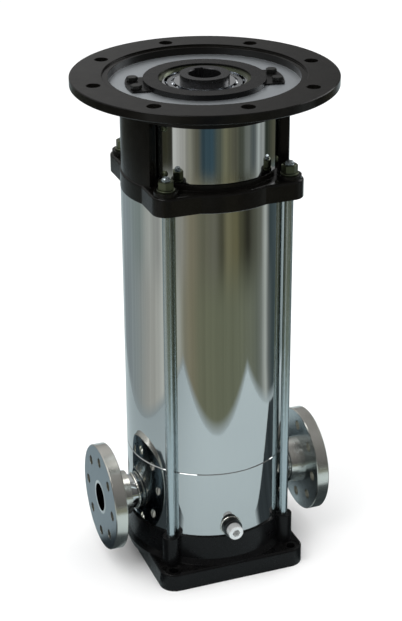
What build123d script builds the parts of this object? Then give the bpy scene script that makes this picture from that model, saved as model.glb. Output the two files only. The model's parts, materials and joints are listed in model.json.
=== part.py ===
from build123d import *

import os
from math import degrees, sqrt

# Vertical multistage pump, without its motor.
# The pump axis is Z, the two ports lie along X and the front of the pump faces -Y.
# The origin is the centre of the underside of the foundation base. Sizes are in millimetres.

# ------------------------------------------------------------------ fits and gaps
press_gap = 0.02  # radial gap between pieces that are pressed together
spigot_gap = 0.1  # radial gap of a spigot in its bore
running_gap = 0.05  # radial gap of a journal in its bush
free_gap = 0.3  # gap between faces that turn past each other

# ------------------------------------------------------------------ foundation base
base_margin_x = 21.5  # from the rods out to the sides of the base
base_margin_y = 34.5
base_thickness = 27.0
base_corner_radius = 22.0
base_edge_round = 4.0
base_seat_height = 33.0  # where the casing stands
base_relief_wall = 15.0  # from the casing spigot in to the relief underneath
base_relief_depth = 12.0
collar_step = 2.4  # the collar stands out from the casing
collar_height = 70.0
collar_underside = 14.0
collar_foot_width = 4.0
collar_foot_height = 8.0
pillar_radius = 12.0
foundation_inset_x = 18.0  # from the sides of the base in to the foundation holes
foundation_inset_y = 14.0
foundation_hole_diameter = 13.0
foundation_spot_diameter = 25.0
foundation_spot_depth = 1.0

# ------------------------------------------------------------------ port casing
barrel_radius = 111.6  # outer radius of the casing and of the sleeve above it
casing_height = 136.0
casing_floor_thickness = 12.0
casing_wall = 13.6
casing_spigot_step = 6.6
casing_rim_chamfer = 1.2
suction_cup_radius = 62.0
suction_cup_wall = 6.0
shelf_thickness = 8.0
shelf_drop = 11.0  # from the casing rim down to the seat of the stages
sleeve_spigot_height = 12.0

# ------------------------------------------------------------------ ports, DN 40
port_height = 101.0
port_neck_length = 48.4  # from the casing out to the port face
port_bore_diameter = 40.0
port_pipe_diameter = 48.3
port_flange_diameter = 150.0
port_flange_thickness = 18.0
port_flange_chamfer = 1.2
port_bolt_circle = 110.0
port_bolt_count = 8
port_bolt_hole_diameter = 14.0
port_hub_diameter = 66.0
port_hub_length = 21.0
port_hub_taper = 5.0  # degrees

# ------------------------------------------------------------------ drain and vent plugs
drain_height = 84.5
drain_offset = 6.0  # from the middle towards the inlet
drain_boss_diameter = 27.0
drain_boss_height = 8.9  # proud of the casing
drain_boss_root_depth = 2.5  # from the casing cavity out to the root of the boss
drain_thread_diameter = 16.6
drain_thread_length = 20.0
drain_head_diameter = 21.0
drain_head_length = 11.0
plug_socket_size = 10.0
plug_socket_depth = 8.0
plug_seal_thickness = 1.5
plug_edge_chamfer = 1.0
vent_inset = 18.0  # from the stool bore in to the vent plug
vent_thread_diameter = 11.0
vent_thread_length = 14.0
vent_hex_size = 17.0
vent_head_length = 9.0

# ------------------------------------------------------------------ outer sleeve and its O-rings
sleeve_wall = 2.5
sleeve_rim_chamfer = 0.8
seal_cord_diameter = 3.2
seal_groove_depth = 3.2
seal_groove_height = 4.4
seal_groove_offset = 4.0  # from the root of a spigot to its groove

# ------------------------------------------------------------------ tie rods
rod_clearance = 1.9  # between the sleeve and the rods
rod_margin = 19.0  # from the rods out to the sides of the stool flange
rod_diameter = 12.0
rod_seat_height = 32.0
rod_washer_diameter = 24.0
rod_washer_thickness = 2.5
rod_nut_size = 19.0
rod_nut_height = 10.8
rod_end_length = 4.0
rod_boss_radius = 16.0  # raised seats on the stool under the nuts
rod_boss_height = 5.0

# ------------------------------------------------------------------ stages
stage_count = 6
stage_pitch = 56.0
return_gap = 6.0  # ring space between the chambers and the casing
chamber_wall = 2.5
chamber_floor = 3.0
divider_height = 30.0
divider_gap = 12.0  # from the chamber radius in to the divider
divider_thickness = 2.5
return_vane_count = 8
return_vane_inner_radius = 26.0
return_vane_lag = 50.0  # degrees that a vane falls back from root to tip
return_vane_width = 3.0
bush_radius = 19.0
bush_length = 8.0
bush_hub_wall = 4.0
neck_seat_radius = 38.0
neck_flange_radius = 42.0
neck_flange_thickness = 2.0

impeller_gap = 14.0  # from the chamber radius in to the impeller
impeller_neck_radius = 34.0
impeller_neck_wall = 4.0
impeller_neck_bottom = 1.5  # heights inside a stage, from the chamber floor
impeller_shroud_bottom = 8.0
impeller_disc_bottom = 20.0
impeller_plate = 2.5
impeller_vane_count = 6
impeller_vane_lag = 60.0
impeller_vane_width = 3.6
impeller_vane_overlap = 0.5
impeller_hub_radius = 18.0
impeller_hub_bottom = 10.0
impeller_hub_top = 24.0

# ------------------------------------------------------------------ shaft and its bearings
shaft_radius = 11.0
journal_radius = 13.0
shaft_bottom_drop = 32.0  # from the seat of the stages down to the shaft end
bottom_bush_radius = 17.0
bottom_carrier_drop = 24.0
bottom_carrier_height = 12.0
bottom_carrier_rim = 6.0
bottom_carrier_hub_radius = 23.0
bottom_carrier_arm_count = 3
bottom_carrier_arm_width = 8.0
spacer_radius = 15.0
shaft_nut_gap = 2.0
shaft_nut_size = 36.0
shaft_nut_height = 12.0

# ------------------------------------------------------------------ top of the stack and pump head
discharge_ring_height = 20.0
discharge_window_count = 8
discharge_window_width = 24.0
discharge_window_sill = 3.0
discharge_lip_width = 26.0
discharge_lip_thickness = 3.0
disc_spring_inset = 2.0  # from the chamber radius in to the springs
disc_spring_width = 20.0
disc_spring_thickness = 2.5
disc_spring_height = 6.0  # one coned spring
head_spigot_height = 26.0
head_boss_step = 20.9  # from the spigot radius in to the boss
head_boss_height = 10.0

# ------------------------------------------------------------------ mechanical seal
seal_chamber_radius = 24.0
seal_seat_radius = 21.0
seal_seat_thickness = 6.0
seal_nose_radius = 17.0
seal_nose_length = 4.0
seal_roof_thickness = 6.0
seal_throat_radius = 12.5
seal_ring_length = 8.0
bellows_length = 18.0
bellows_fold_count = 3
bellows_inner_radius = 12.5
bellows_fold_depth = 3.5
bellows_wall = 1.2
seal_carrier_radius = 19.0
seal_carrier_length = 8.0

# ------------------------------------------------------------------ motor stool
stool_height = 150.0
stool_corner_radius = 19.5
stool_rim_step = 0.9  # the round part of the lower flange stands out from the sleeve
stool_flange_thickness = 25.0
stool_edge_round = 3.0
stool_collar_inset = 11.6
stool_collar_height = 8.0
stool_bore_step = 4.0  # seat width on the pump head
leg_inset = 0.6  # from the sleeve radius in to the legs
leg_thickness = 12.5
leg_spread = 60.0  # degrees
neck_height = 38.0
neck_step = 1.5  # the neck stands out from the legs
neck_flare = 6.0

motor_flange_margin = 25.0  # from the bolt circle to the rim and to the spigot
motor_flange_thickness = 12.0
motor_flange_chamfer = 1.0
motor_bolt_circle = 300.0
motor_bolt_count = 8
motor_bolt_hole_diameter = 18.5
motor_relief_width = 8.0
motor_relief_depth = 2.5
motor_recess_depth = 12.0
motor_web_thickness = 8.0
motor_web_width = 21.5

# ------------------------------------------------------------------ drive hub and clamp
hub_radius = 32.5
hub_shoulder_radius = 36.5
hub_shoulder_height = 14.0
drive_bore_radius = 21.0
drive_bore_depth = 112.0
drive_bore_chamfer = 1.0
keyway_width = 12.0
keyway_depth = 3.3
hub_web = 4.0
hub_neck_radius = 21.0
hub_neck_clearance = 4.0  # above the pump head
hub_neck_relief = 2.0
hub_slot_width = 2.0
drive_pin_radius = 4.0
clamp_radius = 36.0
clamp_height = 16.0
clamp_split = 1.0
clamp_bolt_offset = 28.5
clamp_bolt_radius = 3.0
clamp_bolt_head_radius = 5.0
clamp_bolt_head_length = 6.0
clamp_bolt_seat = 14.0
clamp_bolt_depth = 12.0

# ------------------------------------------------------------------ ball bearing 65 x 120 x 23
bearing_inner_radius = 32.5
bearing_outer_radius = 60.0
bearing_width = 23.0
bearing_ring_thickness = 7.5
bearing_drop = 10.0  # from the motor face down to the bearing
bearing_race_floor = 5.45  # left of a ring under its groove
ball_count = 10
cage_wall = 5.5
cage_rim = 1.7  # above and below the balls
circlip_thickness = 2.5
circlip_reach = 4.5  # over the outer ring
circlip_groove_depth = 2.2
circlip_opening = 24.0  # degrees

housing_radius = 80.0
housing_drop = 5.0  # from the motor face down to the housing top
housing_bar_reach = 23.0  # past the ring of the housing
housing_bar_proud = 2.0  # above the recess floor
housing_bar_width = 61.0
housing_bar_thickness = 10.0
housing_bar_angle = -10.0  # degrees
housing_lip_reach = 6.0  # under the outer ring
housing_lip_thickness = 5.0
housing_bolt_inset = 11.0
housing_bolt_pitch = 36.0
housing_bolt_radius = 4.0
housing_bolt_head_size = 13.0
housing_bolt_head_height = 5.3
housing_bolt_length = 16.0

# ------------------------------------------------------------------ coupling guards
guard_sheet = 1.0
guard_clearance = 2.5  # from the legs in to the flanks
guard_panel_step = 3.0
guard_spread = 128.0  # degrees
guard_panel_spread = 90.0
guard_end_gap = 1.0
guard_screw_angle = 53.0
guard_screw_inset = 8.0
guard_screw_radius = 2.5
guard_screw_head_radius = 4.5
guard_screw_head_height = 3.0
guard_screw_length = 9.0
guard_lug_spread = 9.0
guard_lug_height = 16.0

# ------------------------------------------------------------------ heights that follow
casing_bottom = base_seat_height
casing_top = casing_bottom + casing_height
stack_bottom = casing_top - shelf_drop
stage_bottoms = [stack_bottom + index * stage_pitch for index in range(stage_count)]
stack_top = stack_bottom + stage_count * stage_pitch
discharge_top = stack_top + discharge_ring_height
head_bottom = discharge_top + 2 * disc_spring_height
stool_bottom = head_bottom + head_spigot_height
head_top = stool_bottom + head_boss_height
stool_flange_top = stool_bottom + stool_flange_thickness
stool_collar_top = stool_flange_top + stool_collar_height
rod_boss_top = stool_flange_top + rod_boss_height
motor_face = stool_bottom + stool_height
recess_floor = motor_face - motor_recess_depth
neck_bottom = motor_face - neck_height
shaft_bottom = stack_bottom - shaft_bottom_drop
drive_bore_bottom = motor_face - drive_bore_depth
shaft_top = drive_bore_bottom - hub_web
bearing_top = motor_face - bearing_drop
bearing_bottom = bearing_top - bearing_width
bearing_middle = bearing_top - bearing_width / 2

# ------------------------------------------------------------------ radii that follow
casing_cavity_radius = barrel_radius - casing_wall
casing_spigot_radius = barrel_radius - casing_spigot_step
collar_radius = barrel_radius + collar_step
base_relief_radius = casing_spigot_radius - base_relief_wall
port_face_offset = barrel_radius + port_neck_length
drain_boss_reach = barrel_radius + drain_boss_height
drain_boss_root = casing_cavity_radius + drain_boss_root_depth
rod_pitch = sqrt(2) * (barrel_radius + rod_clearance + rod_diameter / 2)
base_length = rod_pitch + 2 * base_margin_x
base_width = rod_pitch + 2 * base_margin_y
foundation_pitch_x = base_length - 2 * foundation_inset_x
foundation_pitch_y = base_width - 2 * foundation_inset_y
chamber_radius = casing_cavity_radius - return_gap
divider_radius = chamber_radius - divider_gap
impeller_radius = chamber_radius - impeller_gap
discharge_lip_radius = chamber_radius - discharge_lip_width
disc_spring_outer_radius = chamber_radius - disc_spring_inset
disc_spring_inner_radius = disc_spring_outer_radius - disc_spring_width
suction_cup_inner_radius = suction_cup_radius - suction_cup_wall
sleeve_inner_radius = barrel_radius - sleeve_wall
spigot_radius = sleeve_inner_radius - 2 * spigot_gap
groove_radius = spigot_radius - seal_groove_depth
seal_centre_radius = (groove_radius + sleeve_inner_radius) / 2
head_boss_radius = spigot_radius - head_boss_step
stool_width = rod_pitch + 2 * rod_margin
stool_rim_radius = barrel_radius + stool_rim_step
stool_collar_radius = barrel_radius - stool_collar_inset
stool_bore_radius = head_boss_radius - stool_bore_step
vent_offset = stool_bore_radius - vent_inset
leg_outer_radius = barrel_radius - leg_inset
leg_inner_radius = leg_outer_radius - leg_thickness
neck_radius = leg_outer_radius + neck_step
motor_flange_radius = motor_bolt_circle / 2 + motor_flange_margin
motor_spigot_radius = motor_bolt_circle / 2 - motor_flange_margin
motor_relief_radius = motor_spigot_radius + motor_relief_width
motor_web_radius = neck_radius + motor_web_width
housing_bar_radius = housing_radius + housing_bar_reach
housing_bolt_circle = 2 * (housing_bar_radius - housing_bolt_inset)
guard_flank_radius = leg_inner_radius - guard_clearance
guard_panel_radius = guard_flank_radius + guard_panel_step
ball_circle_radius = (bearing_inner_radius + bearing_outer_radius) / 2
ball_radius = (bearing_outer_radius - bearing_inner_radius) / 2 - bearing_race_floor
cage_inner_radius = ball_circle_radius - cage_wall / 2
cage_outer_radius = ball_circle_radius + cage_wall / 2
cage_height = 2 * (ball_radius + cage_rim)
circlip_inner_radius = bearing_outer_radius - circlip_reach
housing_lip_radius = bearing_outer_radius - housing_lip_reach


def save(builder, name):
    """Label a finished sub-part and write its STEP file."""
    builder.part.label = name
    export_step(builder.part, f"parts/{name}.step")


def ring(inner_radius, outer_radius, bottom, top):
    """A plain ring on the pump axis."""
    with BuildPart() as body:
        with BuildSketch(Plane.XY.offset(bottom)):
            Circle(outer_radius)
            Circle(inner_radius, mode=Mode.SUBTRACT)
        extrude(amount=top - bottom)
    return body


def sector(inner_radius, outer_radius, angle, spread):
    """Plan of a curved strip about the pump axis, spread degrees wide and centred on angle."""
    start = angle - spread / 2
    with BuildSketch(mode=Mode.PRIVATE) as strip:
        with BuildLine():
            outer = CenterArc((0, 0), outer_radius, start, spread)
            inner = CenterArc((0, 0), inner_radius, start, spread)
            Line(outer @ 0, inner @ 0)
            Line(outer @ 1, inner @ 1)
        make_face()
    return strip.sketch


def curved_vane(inner_radius, outer_radius, lag, width):
    """Plan of one vane: two arcs from inner_radius to outer_radius that fall back by lag."""
    stations = ((inner_radius, 0), ((inner_radius + outer_radius) / 2, lag / 2), (outer_radius, lag))
    sides = []
    for half_width in (-width / 2, width / 2):
        side = [Vector(r, 0).rotate(Axis.Z, degrees(half_width / r) - fall) for r, fall in stations]
        sides.append(side)
    with BuildSketch(mode=Mode.PRIVATE) as vane:
        with BuildLine():
            ThreePointArc(*sides[0])
            ThreePointArc(*sides[1])
            Line(sides[0][0], sides[1][0])
            Line(sides[0][2], sides[1][2])
        make_face()
    return vane.sketch


def radial_plane(angle, radius, height):
    """A plane that faces straight out from the pump axis."""
    outward = Vector(1, 0).rotate(Axis.Z, angle)
    return Plane(origin=outward * radius + Vector(0, 0, height), z_dir=outward)


os.makedirs("parts", exist_ok=True)

# ================================================================== foundation base
with BuildPart() as base_plate:
    with BuildSketch():
        RectangleRounded(base_length, base_width, base_corner_radius)
    extrude(amount=base_thickness)
    fillet(base_plate.faces().sort_by(Axis.Z)[-1].edges(), base_edge_round)
    # Round collar with a tapered foot.
    foot_radius = collar_radius + collar_foot_width
    with BuildSketch(Plane.XZ):
        with BuildLine():
            Polyline(
                (0, collar_underside),
                (collar_radius, collar_underside),
                (foot_radius, base_thickness),
                (collar_radius, base_thickness + collar_foot_height),
                (collar_radius, collar_height),
                (0, collar_height),
                close=True,
            )
        make_face()
    revolve(axis=Axis.Z)
    # Pillars that take the tie rods.
    with BuildSketch():
        with GridLocations(rod_pitch, rod_pitch, 2, 2):
            Circle(pillar_radius)
    extrude(amount=collar_height)
    # Seat of the casing, tapped rod holes and the relief underneath.
    with BuildSketch(Plane.XY.offset(base_seat_height)):
        Circle(casing_spigot_radius + spigot_gap)
        with GridLocations(rod_pitch, rod_pitch, 2, 2):
            Circle(rod_diameter / 2 + running_gap)
    extrude(amount=collar_height - base_seat_height, mode=Mode.SUBTRACT)
    with BuildSketch(Plane.XY.offset(rod_seat_height)):
        with GridLocations(rod_pitch, rod_pitch, 2, 2):
            Circle(rod_diameter / 2 + running_gap)
    extrude(amount=collar_height - rod_seat_height, mode=Mode.SUBTRACT)
    with BuildSketch():
        Circle(base_relief_radius)
        with GridLocations(foundation_pitch_x, foundation_pitch_y, 2, 2):
            Circle(foundation_hole_diameter / 2)
    extrude(amount=base_relief_depth, mode=Mode.SUBTRACT)
    with BuildSketch():
        with GridLocations(foundation_pitch_x, foundation_pitch_y, 2, 2):
            Circle(foundation_hole_diameter / 2)
    extrude(amount=base_thickness, mode=Mode.SUBTRACT)
    with BuildSketch(Plane.XY.offset(base_thickness - foundation_spot_depth)):
        with GridLocations(foundation_pitch_x, foundation_pitch_y, 2, 2):
            Circle(foundation_spot_diameter / 2)
            Circle(foundation_hole_diameter / 2, mode=Mode.SUBTRACT)
        Circle(foot_radius, mode=Mode.SUBTRACT)
    extrude(amount=foundation_spot_depth, mode=Mode.SUBTRACT)
save(base_plate, "base_plate")

# ================================================================== port casing
inlet_face = Plane(origin=(-port_face_offset, 0, port_height), x_dir=(0, 1, 0), z_dir=(1, 0, 0))
outlet_face = Plane(origin=(port_face_offset, 0, port_height), x_dir=(0, 1, 0), z_dir=(-1, 0, 0))
drain_face = Plane(origin=(-drain_offset, -drain_boss_reach, drain_height), x_dir=(1, 0, 0), z_dir=(0, -1, 0))
inlet_duct_length = port_face_offset - suction_cup_inner_radius + 1
outlet_duct_length = port_face_offset - casing_cavity_radius - 2
lower_groove = casing_top + seal_groove_offset

with BuildPart() as port_casing:
    with BuildSketch(Plane.XZ):
        with BuildLine():
            Polyline(
                (0, casing_bottom),
                (casing_spigot_radius, casing_bottom),
                (casing_spigot_radius, collar_height),
                (barrel_radius, collar_height),
                (barrel_radius, casing_top - casing_rim_chamfer),
                (barrel_radius - casing_rim_chamfer, casing_top),
                (spigot_radius, casing_top),
                (spigot_radius, lower_groove),
                (groove_radius, lower_groove),
                (groove_radius, lower_groove + seal_groove_height),
                (spigot_radius, lower_groove + seal_groove_height),
                (spigot_radius, casing_top + sleeve_spigot_height),
                (casing_cavity_radius, casing_top + sleeve_spigot_height),
                (casing_cavity_radius, casing_bottom + casing_floor_thickness),
                (suction_cup_radius, casing_bottom + casing_floor_thickness),
                (suction_cup_radius, stack_bottom - shelf_thickness),
                (chamber_radius, stack_bottom - shelf_thickness),
                (chamber_radius, stack_bottom),
                (suction_cup_inner_radius, stack_bottom),
                (suction_cup_inner_radius, casing_bottom + casing_floor_thickness),
                (0, casing_bottom + casing_floor_thickness),
                close=True,
            )
        make_face()
    revolve(axis=Axis.Z)
    # Inlet duct into the suction cup, outlet duct out of the ring space around it.
    with BuildSketch(inlet_face):
        Circle(port_pipe_diameter / 2)
    extrude(amount=inlet_duct_length)
    with BuildSketch(inlet_face):
        Circle(port_bore_diameter / 2)
    extrude(amount=port_face_offset - suction_cup_inner_radius / 2, mode=Mode.SUBTRACT)
    with BuildSketch(outlet_face):
        Circle(port_pipe_diameter / 2)
    extrude(amount=outlet_duct_length)
    with BuildSketch(outlet_face):
        Circle(port_bore_diameter / 2)
    extrude(amount=port_face_offset - chamber_radius, mode=Mode.SUBTRACT)
    # Drain boss, tapped through into the ring space.
    with BuildSketch(drain_face):
        Circle(drain_boss_diameter / 2)
    extrude(amount=drain_boss_root - drain_boss_reach)
    with BuildSketch(drain_face):
        Circle(drain_thread_diameter / 2 + spigot_gap)
    extrude(amount=chamber_radius - drain_boss_reach, mode=Mode.SUBTRACT)
save(port_casing, "port_casing")


def port_flange(face):
    """Slip-on pipe flange with a tapered hub, its sealing face on the given plane."""
    with BuildPart() as flange:
        with BuildSketch(face):
            Circle(port_flange_diameter / 2)
        extrude(amount=port_flange_thickness)
        chamfer(flange.edges(), port_flange_chamfer)
        with BuildSketch(face.offset(port_flange_thickness)):
            Circle(port_hub_diameter / 2)
        extrude(amount=port_hub_length, taper=port_hub_taper)
        with BuildSketch(face):
            Circle(port_pipe_diameter / 2 + running_gap)
        extrude(amount=port_flange_thickness + port_hub_length, mode=Mode.SUBTRACT)
        with BuildSketch(face):
            with PolarLocations(port_bolt_circle / 2, port_bolt_count):
                Circle(port_bolt_hole_diameter / 2)
        extrude(amount=port_flange_thickness, mode=Mode.SUBTRACT)
    return flange


save(port_flange(inlet_face), "inlet_flange")
save(port_flange(outlet_face), "outlet_flange")

# ================================================================== drain plug
with BuildPart() as drain_plug:
    with BuildSketch(drain_face.offset(plug_seal_thickness)):
        Circle(drain_head_diameter / 2)
    extrude(amount=drain_head_length)
    chamfer(drain_plug.faces().sort_by(Axis.Y)[0].edges(), plug_edge_chamfer)
    with BuildSketch(drain_face.offset(plug_seal_thickness)):
        Circle(drain_thread_diameter / 2)
    extrude(amount=-plug_seal_thickness - drain_thread_length)
    with BuildSketch(drain_face.offset(plug_seal_thickness + drain_head_length)):
        RegularPolygon(plug_socket_size / 2, 6, major_radius=False)
    extrude(amount=-plug_socket_depth, mode=Mode.SUBTRACT)
save(drain_plug, "drain_plug")

with BuildPart() as drain_plug_seal:
    with BuildSketch(drain_face):
        Circle(drain_head_diameter / 2)
        Circle(drain_thread_diameter / 2 + free_gap, mode=Mode.SUBTRACT)
    extrude(amount=plug_seal_thickness)
save(drain_plug_seal, "drain_plug_seal")

# ================================================================== outer sleeve and its O-rings
with BuildPart() as outer_sleeve:
    with BuildSketch(Plane.XY.offset(casing_top)):
        Circle(barrel_radius)
        Circle(sleeve_inner_radius, mode=Mode.SUBTRACT)
    extrude(amount=stool_bottom - casing_top)
    rims = outer_sleeve.edges().filter_by(GeomType.CIRCLE).group_by(SortBy.RADIUS)[-1]
    chamfer(rims, sleeve_rim_chamfer)
save(outer_sleeve, "outer_sleeve")

upper_groove = stool_bottom - seal_groove_offset - seal_groove_height
for name, groove in (("sleeve_seal_lower", lower_groove), ("sleeve_seal_upper", upper_groove)):
    with BuildPart(Plane.XY.offset(groove + seal_groove_height / 2)) as sleeve_seal:
        Torus(seal_centre_radius, seal_cord_diameter / 2)
    save(sleeve_seal, name)

# ================================================================== tie rods
rod_washer_top = rod_boss_top + rod_washer_thickness
rod_nut_top = rod_washer_top + rod_nut_height
rod_top = rod_nut_top + rod_end_length

with BuildPart() as tie_rods:
    with BuildSketch(Plane.XY.offset(rod_seat_height)):
        with GridLocations(rod_pitch, rod_pitch, 2, 2):
            Circle(rod_diameter / 2)
    extrude(amount=rod_top - rod_seat_height)
save(tie_rods, "tie_rods")

with BuildPart() as tie_rod_washers:
    with BuildSketch(Plane.XY.offset(rod_boss_top)):
        with GridLocations(rod_pitch, rod_pitch, 2, 2):
            Circle(rod_washer_diameter / 2)
            Circle(rod_diameter / 2 + free_gap, mode=Mode.SUBTRACT)
    extrude(amount=rod_washer_thickness)
save(tie_rod_washers, "tie_rod_washers")

with BuildPart() as tie_rod_nuts:
    with BuildSketch(Plane.XY.offset(rod_washer_top)):
        with GridLocations(rod_pitch, rod_pitch, 2, 2):
            RegularPolygon(rod_nut_size / 2, 6, major_radius=False)
            Circle(rod_diameter / 2 + running_gap, mode=Mode.SUBTRACT)
    extrude(amount=rod_nut_height)
save(tie_rod_nuts, "tie_rod_nuts")

# ================================================================== stages
return_vane_reach = chamber_radius - chamber_wall / 2
return_vane = curved_vane(
    return_vane_inner_radius, return_vane_reach, return_vane_lag, return_vane_width
)
impeller_vane = curved_vane(
    impeller_neck_radius - impeller_neck_wall,
    impeller_radius - impeller_vane_width / 3,
    impeller_vane_lag,
    impeller_vane_width,
)


def stage_chamber(bottom):
    """Cup of one stage: floor, wall, divider with the bush hub, and the return vanes."""
    divider = bottom + divider_height
    vane_bottom = divider + divider_thickness
    with BuildPart() as chamber:
        with BuildSketch(Plane.XY.offset(bottom)):
            Circle(chamber_radius)
        extrude(amount=stage_pitch)
        with BuildSketch(Plane.XY.offset(bottom + chamber_floor)):
            Circle(chamber_radius - chamber_wall)
        extrude(amount=stage_pitch - chamber_floor, mode=Mode.SUBTRACT)
        with BuildSketch(Plane.XY.offset(bottom)):
            Circle(neck_seat_radius)
        extrude(amount=chamber_floor, mode=Mode.SUBTRACT)
        with BuildSketch(Plane.XY.offset(divider)):
            Circle(divider_radius)
        extrude(amount=divider_thickness)
        with BuildSketch(Plane.XY.offset(divider)):
            Circle(bush_radius + bush_hub_wall)
        extrude(amount=bush_length)
        with BuildSketch(Plane.XY.offset(vane_bottom)):
            with PolarLocations(0, return_vane_count):
                add(return_vane)
        extrude(amount=bottom + stage_pitch - vane_bottom)
        with BuildSketch(Plane.XY.offset(divider)):
            Circle(bush_radius + press_gap)
        extrude(amount=bush_length, mode=Mode.SUBTRACT)
    return chamber


def impeller(bottom):
    """Closed impeller: neck and shroud below, hub disc above, backward-curved vanes between."""
    vane_bottom = bottom + impeller_shroud_bottom + impeller_plate - impeller_vane_overlap
    vane_top = bottom + impeller_disc_bottom + impeller_vane_overlap
    eye_radius = impeller_neck_radius - impeller_neck_wall
    with BuildPart() as wheel:
        with BuildSketch(Plane.XY.offset(bottom + impeller_neck_bottom)):
            Circle(impeller_neck_radius)
        extrude(amount=impeller_shroud_bottom - impeller_neck_bottom)
        with BuildSketch(Plane.XY.offset(bottom + impeller_shroud_bottom)):
            Circle(impeller_radius)
        extrude(amount=impeller_plate)
        with BuildSketch(Plane.XY.offset(bottom + impeller_neck_bottom)):
            Circle(eye_radius)
        extrude(amount=impeller_shroud_bottom - impeller_neck_bottom + impeller_plate, mode=Mode.SUBTRACT)
        with BuildSketch(Plane.XY.offset(bottom + impeller_disc_bottom)):
            Circle(impeller_radius)
        extrude(amount=impeller_plate)
        with BuildSketch(Plane.XY.offset(vane_bottom)):
            with PolarLocations(0, impeller_vane_count):
                add(impeller_vane)
        extrude(amount=vane_top - vane_bottom)
        with BuildSketch(Plane.XY.offset(bottom + impeller_hub_bottom)):
            Circle(impeller_hub_radius)
        extrude(amount=impeller_hub_top - impeller_hub_bottom)
        with BuildSketch(Plane.XY.offset(bottom + impeller_hub_bottom)):
            Circle(shaft_radius + press_gap)
        extrude(amount=impeller_hub_top - impeller_hub_bottom, mode=Mode.SUBTRACT)
    return wheel


for number, stage_bottom in enumerate(stage_bottoms, start=1):
    save(stage_chamber(stage_bottom), f"stage_chamber_{number}")
    save(impeller(stage_bottom), f"impeller_{number}")

with BuildPart() as neck_rings:
    for stage_bottom in stage_bottoms:
        with BuildSketch(Plane.XY.offset(stage_bottom)):
            Circle(neck_seat_radius - press_gap)
        extrude(amount=chamber_floor)
        with BuildSketch(Plane.XY.offset(stage_bottom + chamber_floor)):
            Circle(neck_flange_radius)
        extrude(amount=neck_flange_thickness)
        with BuildSketch(Plane.XY.offset(stage_bottom)):
            Circle(impeller_neck_radius + free_gap)
        extrude(amount=chamber_floor + neck_flange_thickness, mode=Mode.SUBTRACT)
save(neck_rings, "neck_rings")

with BuildPart() as chamber_bushes:
    for stage_bottom in stage_bottoms:
        with BuildSketch(Plane.XY.offset(stage_bottom + divider_height)):
            Circle(bush_radius)
            Circle(spacer_radius + running_gap, mode=Mode.SUBTRACT)
        extrude(amount=bush_length)
save(chamber_bushes, "chamber_bushes")

# ================================================================== pump shaft
first_hub = stack_bottom + impeller_hub_bottom
shaft_nut_bottom = stack_top + shaft_nut_gap
drive_pin_height = (head_top + hub_neck_clearance + shaft_top) / 2

with BuildPart() as pump_shaft:
    with BuildSketch(Plane.XZ):
        with BuildLine():
            Polyline(
                (0, shaft_bottom),
                (journal_radius, shaft_bottom),
                (journal_radius, first_hub),
                (shaft_radius, first_hub),
                (shaft_radius, shaft_top),
                (0, shaft_top),
                close=True,
            )
        make_face()
    revolve(axis=Axis.Z)
    with BuildSketch(Plane.YZ.offset(-journal_radius)):
        with Locations((0, drive_pin_height)):
            Circle(drive_pin_radius + press_gap)
    extrude(amount=2 * journal_radius, mode=Mode.SUBTRACT)
save(pump_shaft, "pump_shaft")

# One spacer above each impeller hub; the last one carries the shaft nut.
spacer_tops = [bottom + impeller_hub_bottom for bottom in stage_bottoms[1:]] + [shaft_nut_bottom]
with BuildPart() as shaft_spacers:
    for stage_bottom, spacer_top in zip(stage_bottoms, spacer_tops):
        spacer_bottom = stage_bottom + impeller_hub_top
        with BuildSketch(Plane.XY.offset(spacer_bottom)):
            Circle(spacer_radius)
            Circle(shaft_radius + press_gap, mode=Mode.SUBTRACT)
        extrude(amount=spacer_top - spacer_bottom)
save(shaft_spacers, "shaft_spacers")

with BuildPart() as shaft_nut:
    with BuildSketch(Plane.XY.offset(shaft_nut_bottom)):
        RegularPolygon(shaft_nut_size / 2, 6, major_radius=False)
        Circle(shaft_radius + press_gap, mode=Mode.SUBTRACT)
    extrude(amount=shaft_nut_height)
save(shaft_nut, "shaft_nut")

bottom_bush_bottom = stack_bottom - bottom_carrier_drop
bottom_bush_top = bottom_bush_bottom + bottom_carrier_height
carrier_radius = suction_cup_inner_radius - spigot_gap
arm_inner_radius = (bottom_bush_radius + bottom_carrier_hub_radius) / 2
arm_outer_radius = carrier_radius - bottom_carrier_rim / 2
with BuildPart() as bottom_bearing_carrier:
    with BuildSketch(Plane.XY.offset(bottom_bush_bottom)):
        Circle(carrier_radius)
        Circle(carrier_radius - bottom_carrier_rim, mode=Mode.SUBTRACT)
        Circle(bottom_carrier_hub_radius)
        with PolarLocations((arm_inner_radius + arm_outer_radius) / 2, bottom_carrier_arm_count):
            Rectangle(arm_outer_radius - arm_inner_radius, bottom_carrier_arm_width)
        Circle(bottom_bush_radius + press_gap, mode=Mode.SUBTRACT)
    extrude(amount=bottom_carrier_height)
save(bottom_bearing_carrier, "bottom_bearing_carrier")

bottom_bush = ring(
    journal_radius + running_gap, bottom_bush_radius, bottom_bush_bottom, bottom_bush_top
)
save(bottom_bush, "bottom_bush")

# ================================================================== top of the stack
with BuildPart() as discharge_ring:
    with BuildSketch(Plane.XY.offset(stack_top)):
        Circle(chamber_radius)
        Circle(chamber_radius - chamber_wall, mode=Mode.SUBTRACT)
    extrude(amount=discharge_ring_height)
    with BuildSketch(Plane.XY.offset(discharge_top - discharge_lip_thickness)):
        Circle(chamber_radius)
        Circle(discharge_lip_radius, mode=Mode.SUBTRACT)
    extrude(amount=discharge_lip_thickness)
    with BuildSketch(Plane.XY.offset(stack_top + discharge_window_sill)):
        with PolarLocations(chamber_radius, discharge_window_count):
            Rectangle(4 * chamber_wall, discharge_window_width)
    window_height = discharge_ring_height - 2 * discharge_window_sill - discharge_lip_thickness
    extrude(amount=window_height, mode=Mode.SUBTRACT)
save(discharge_ring, "discharge_ring")

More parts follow.
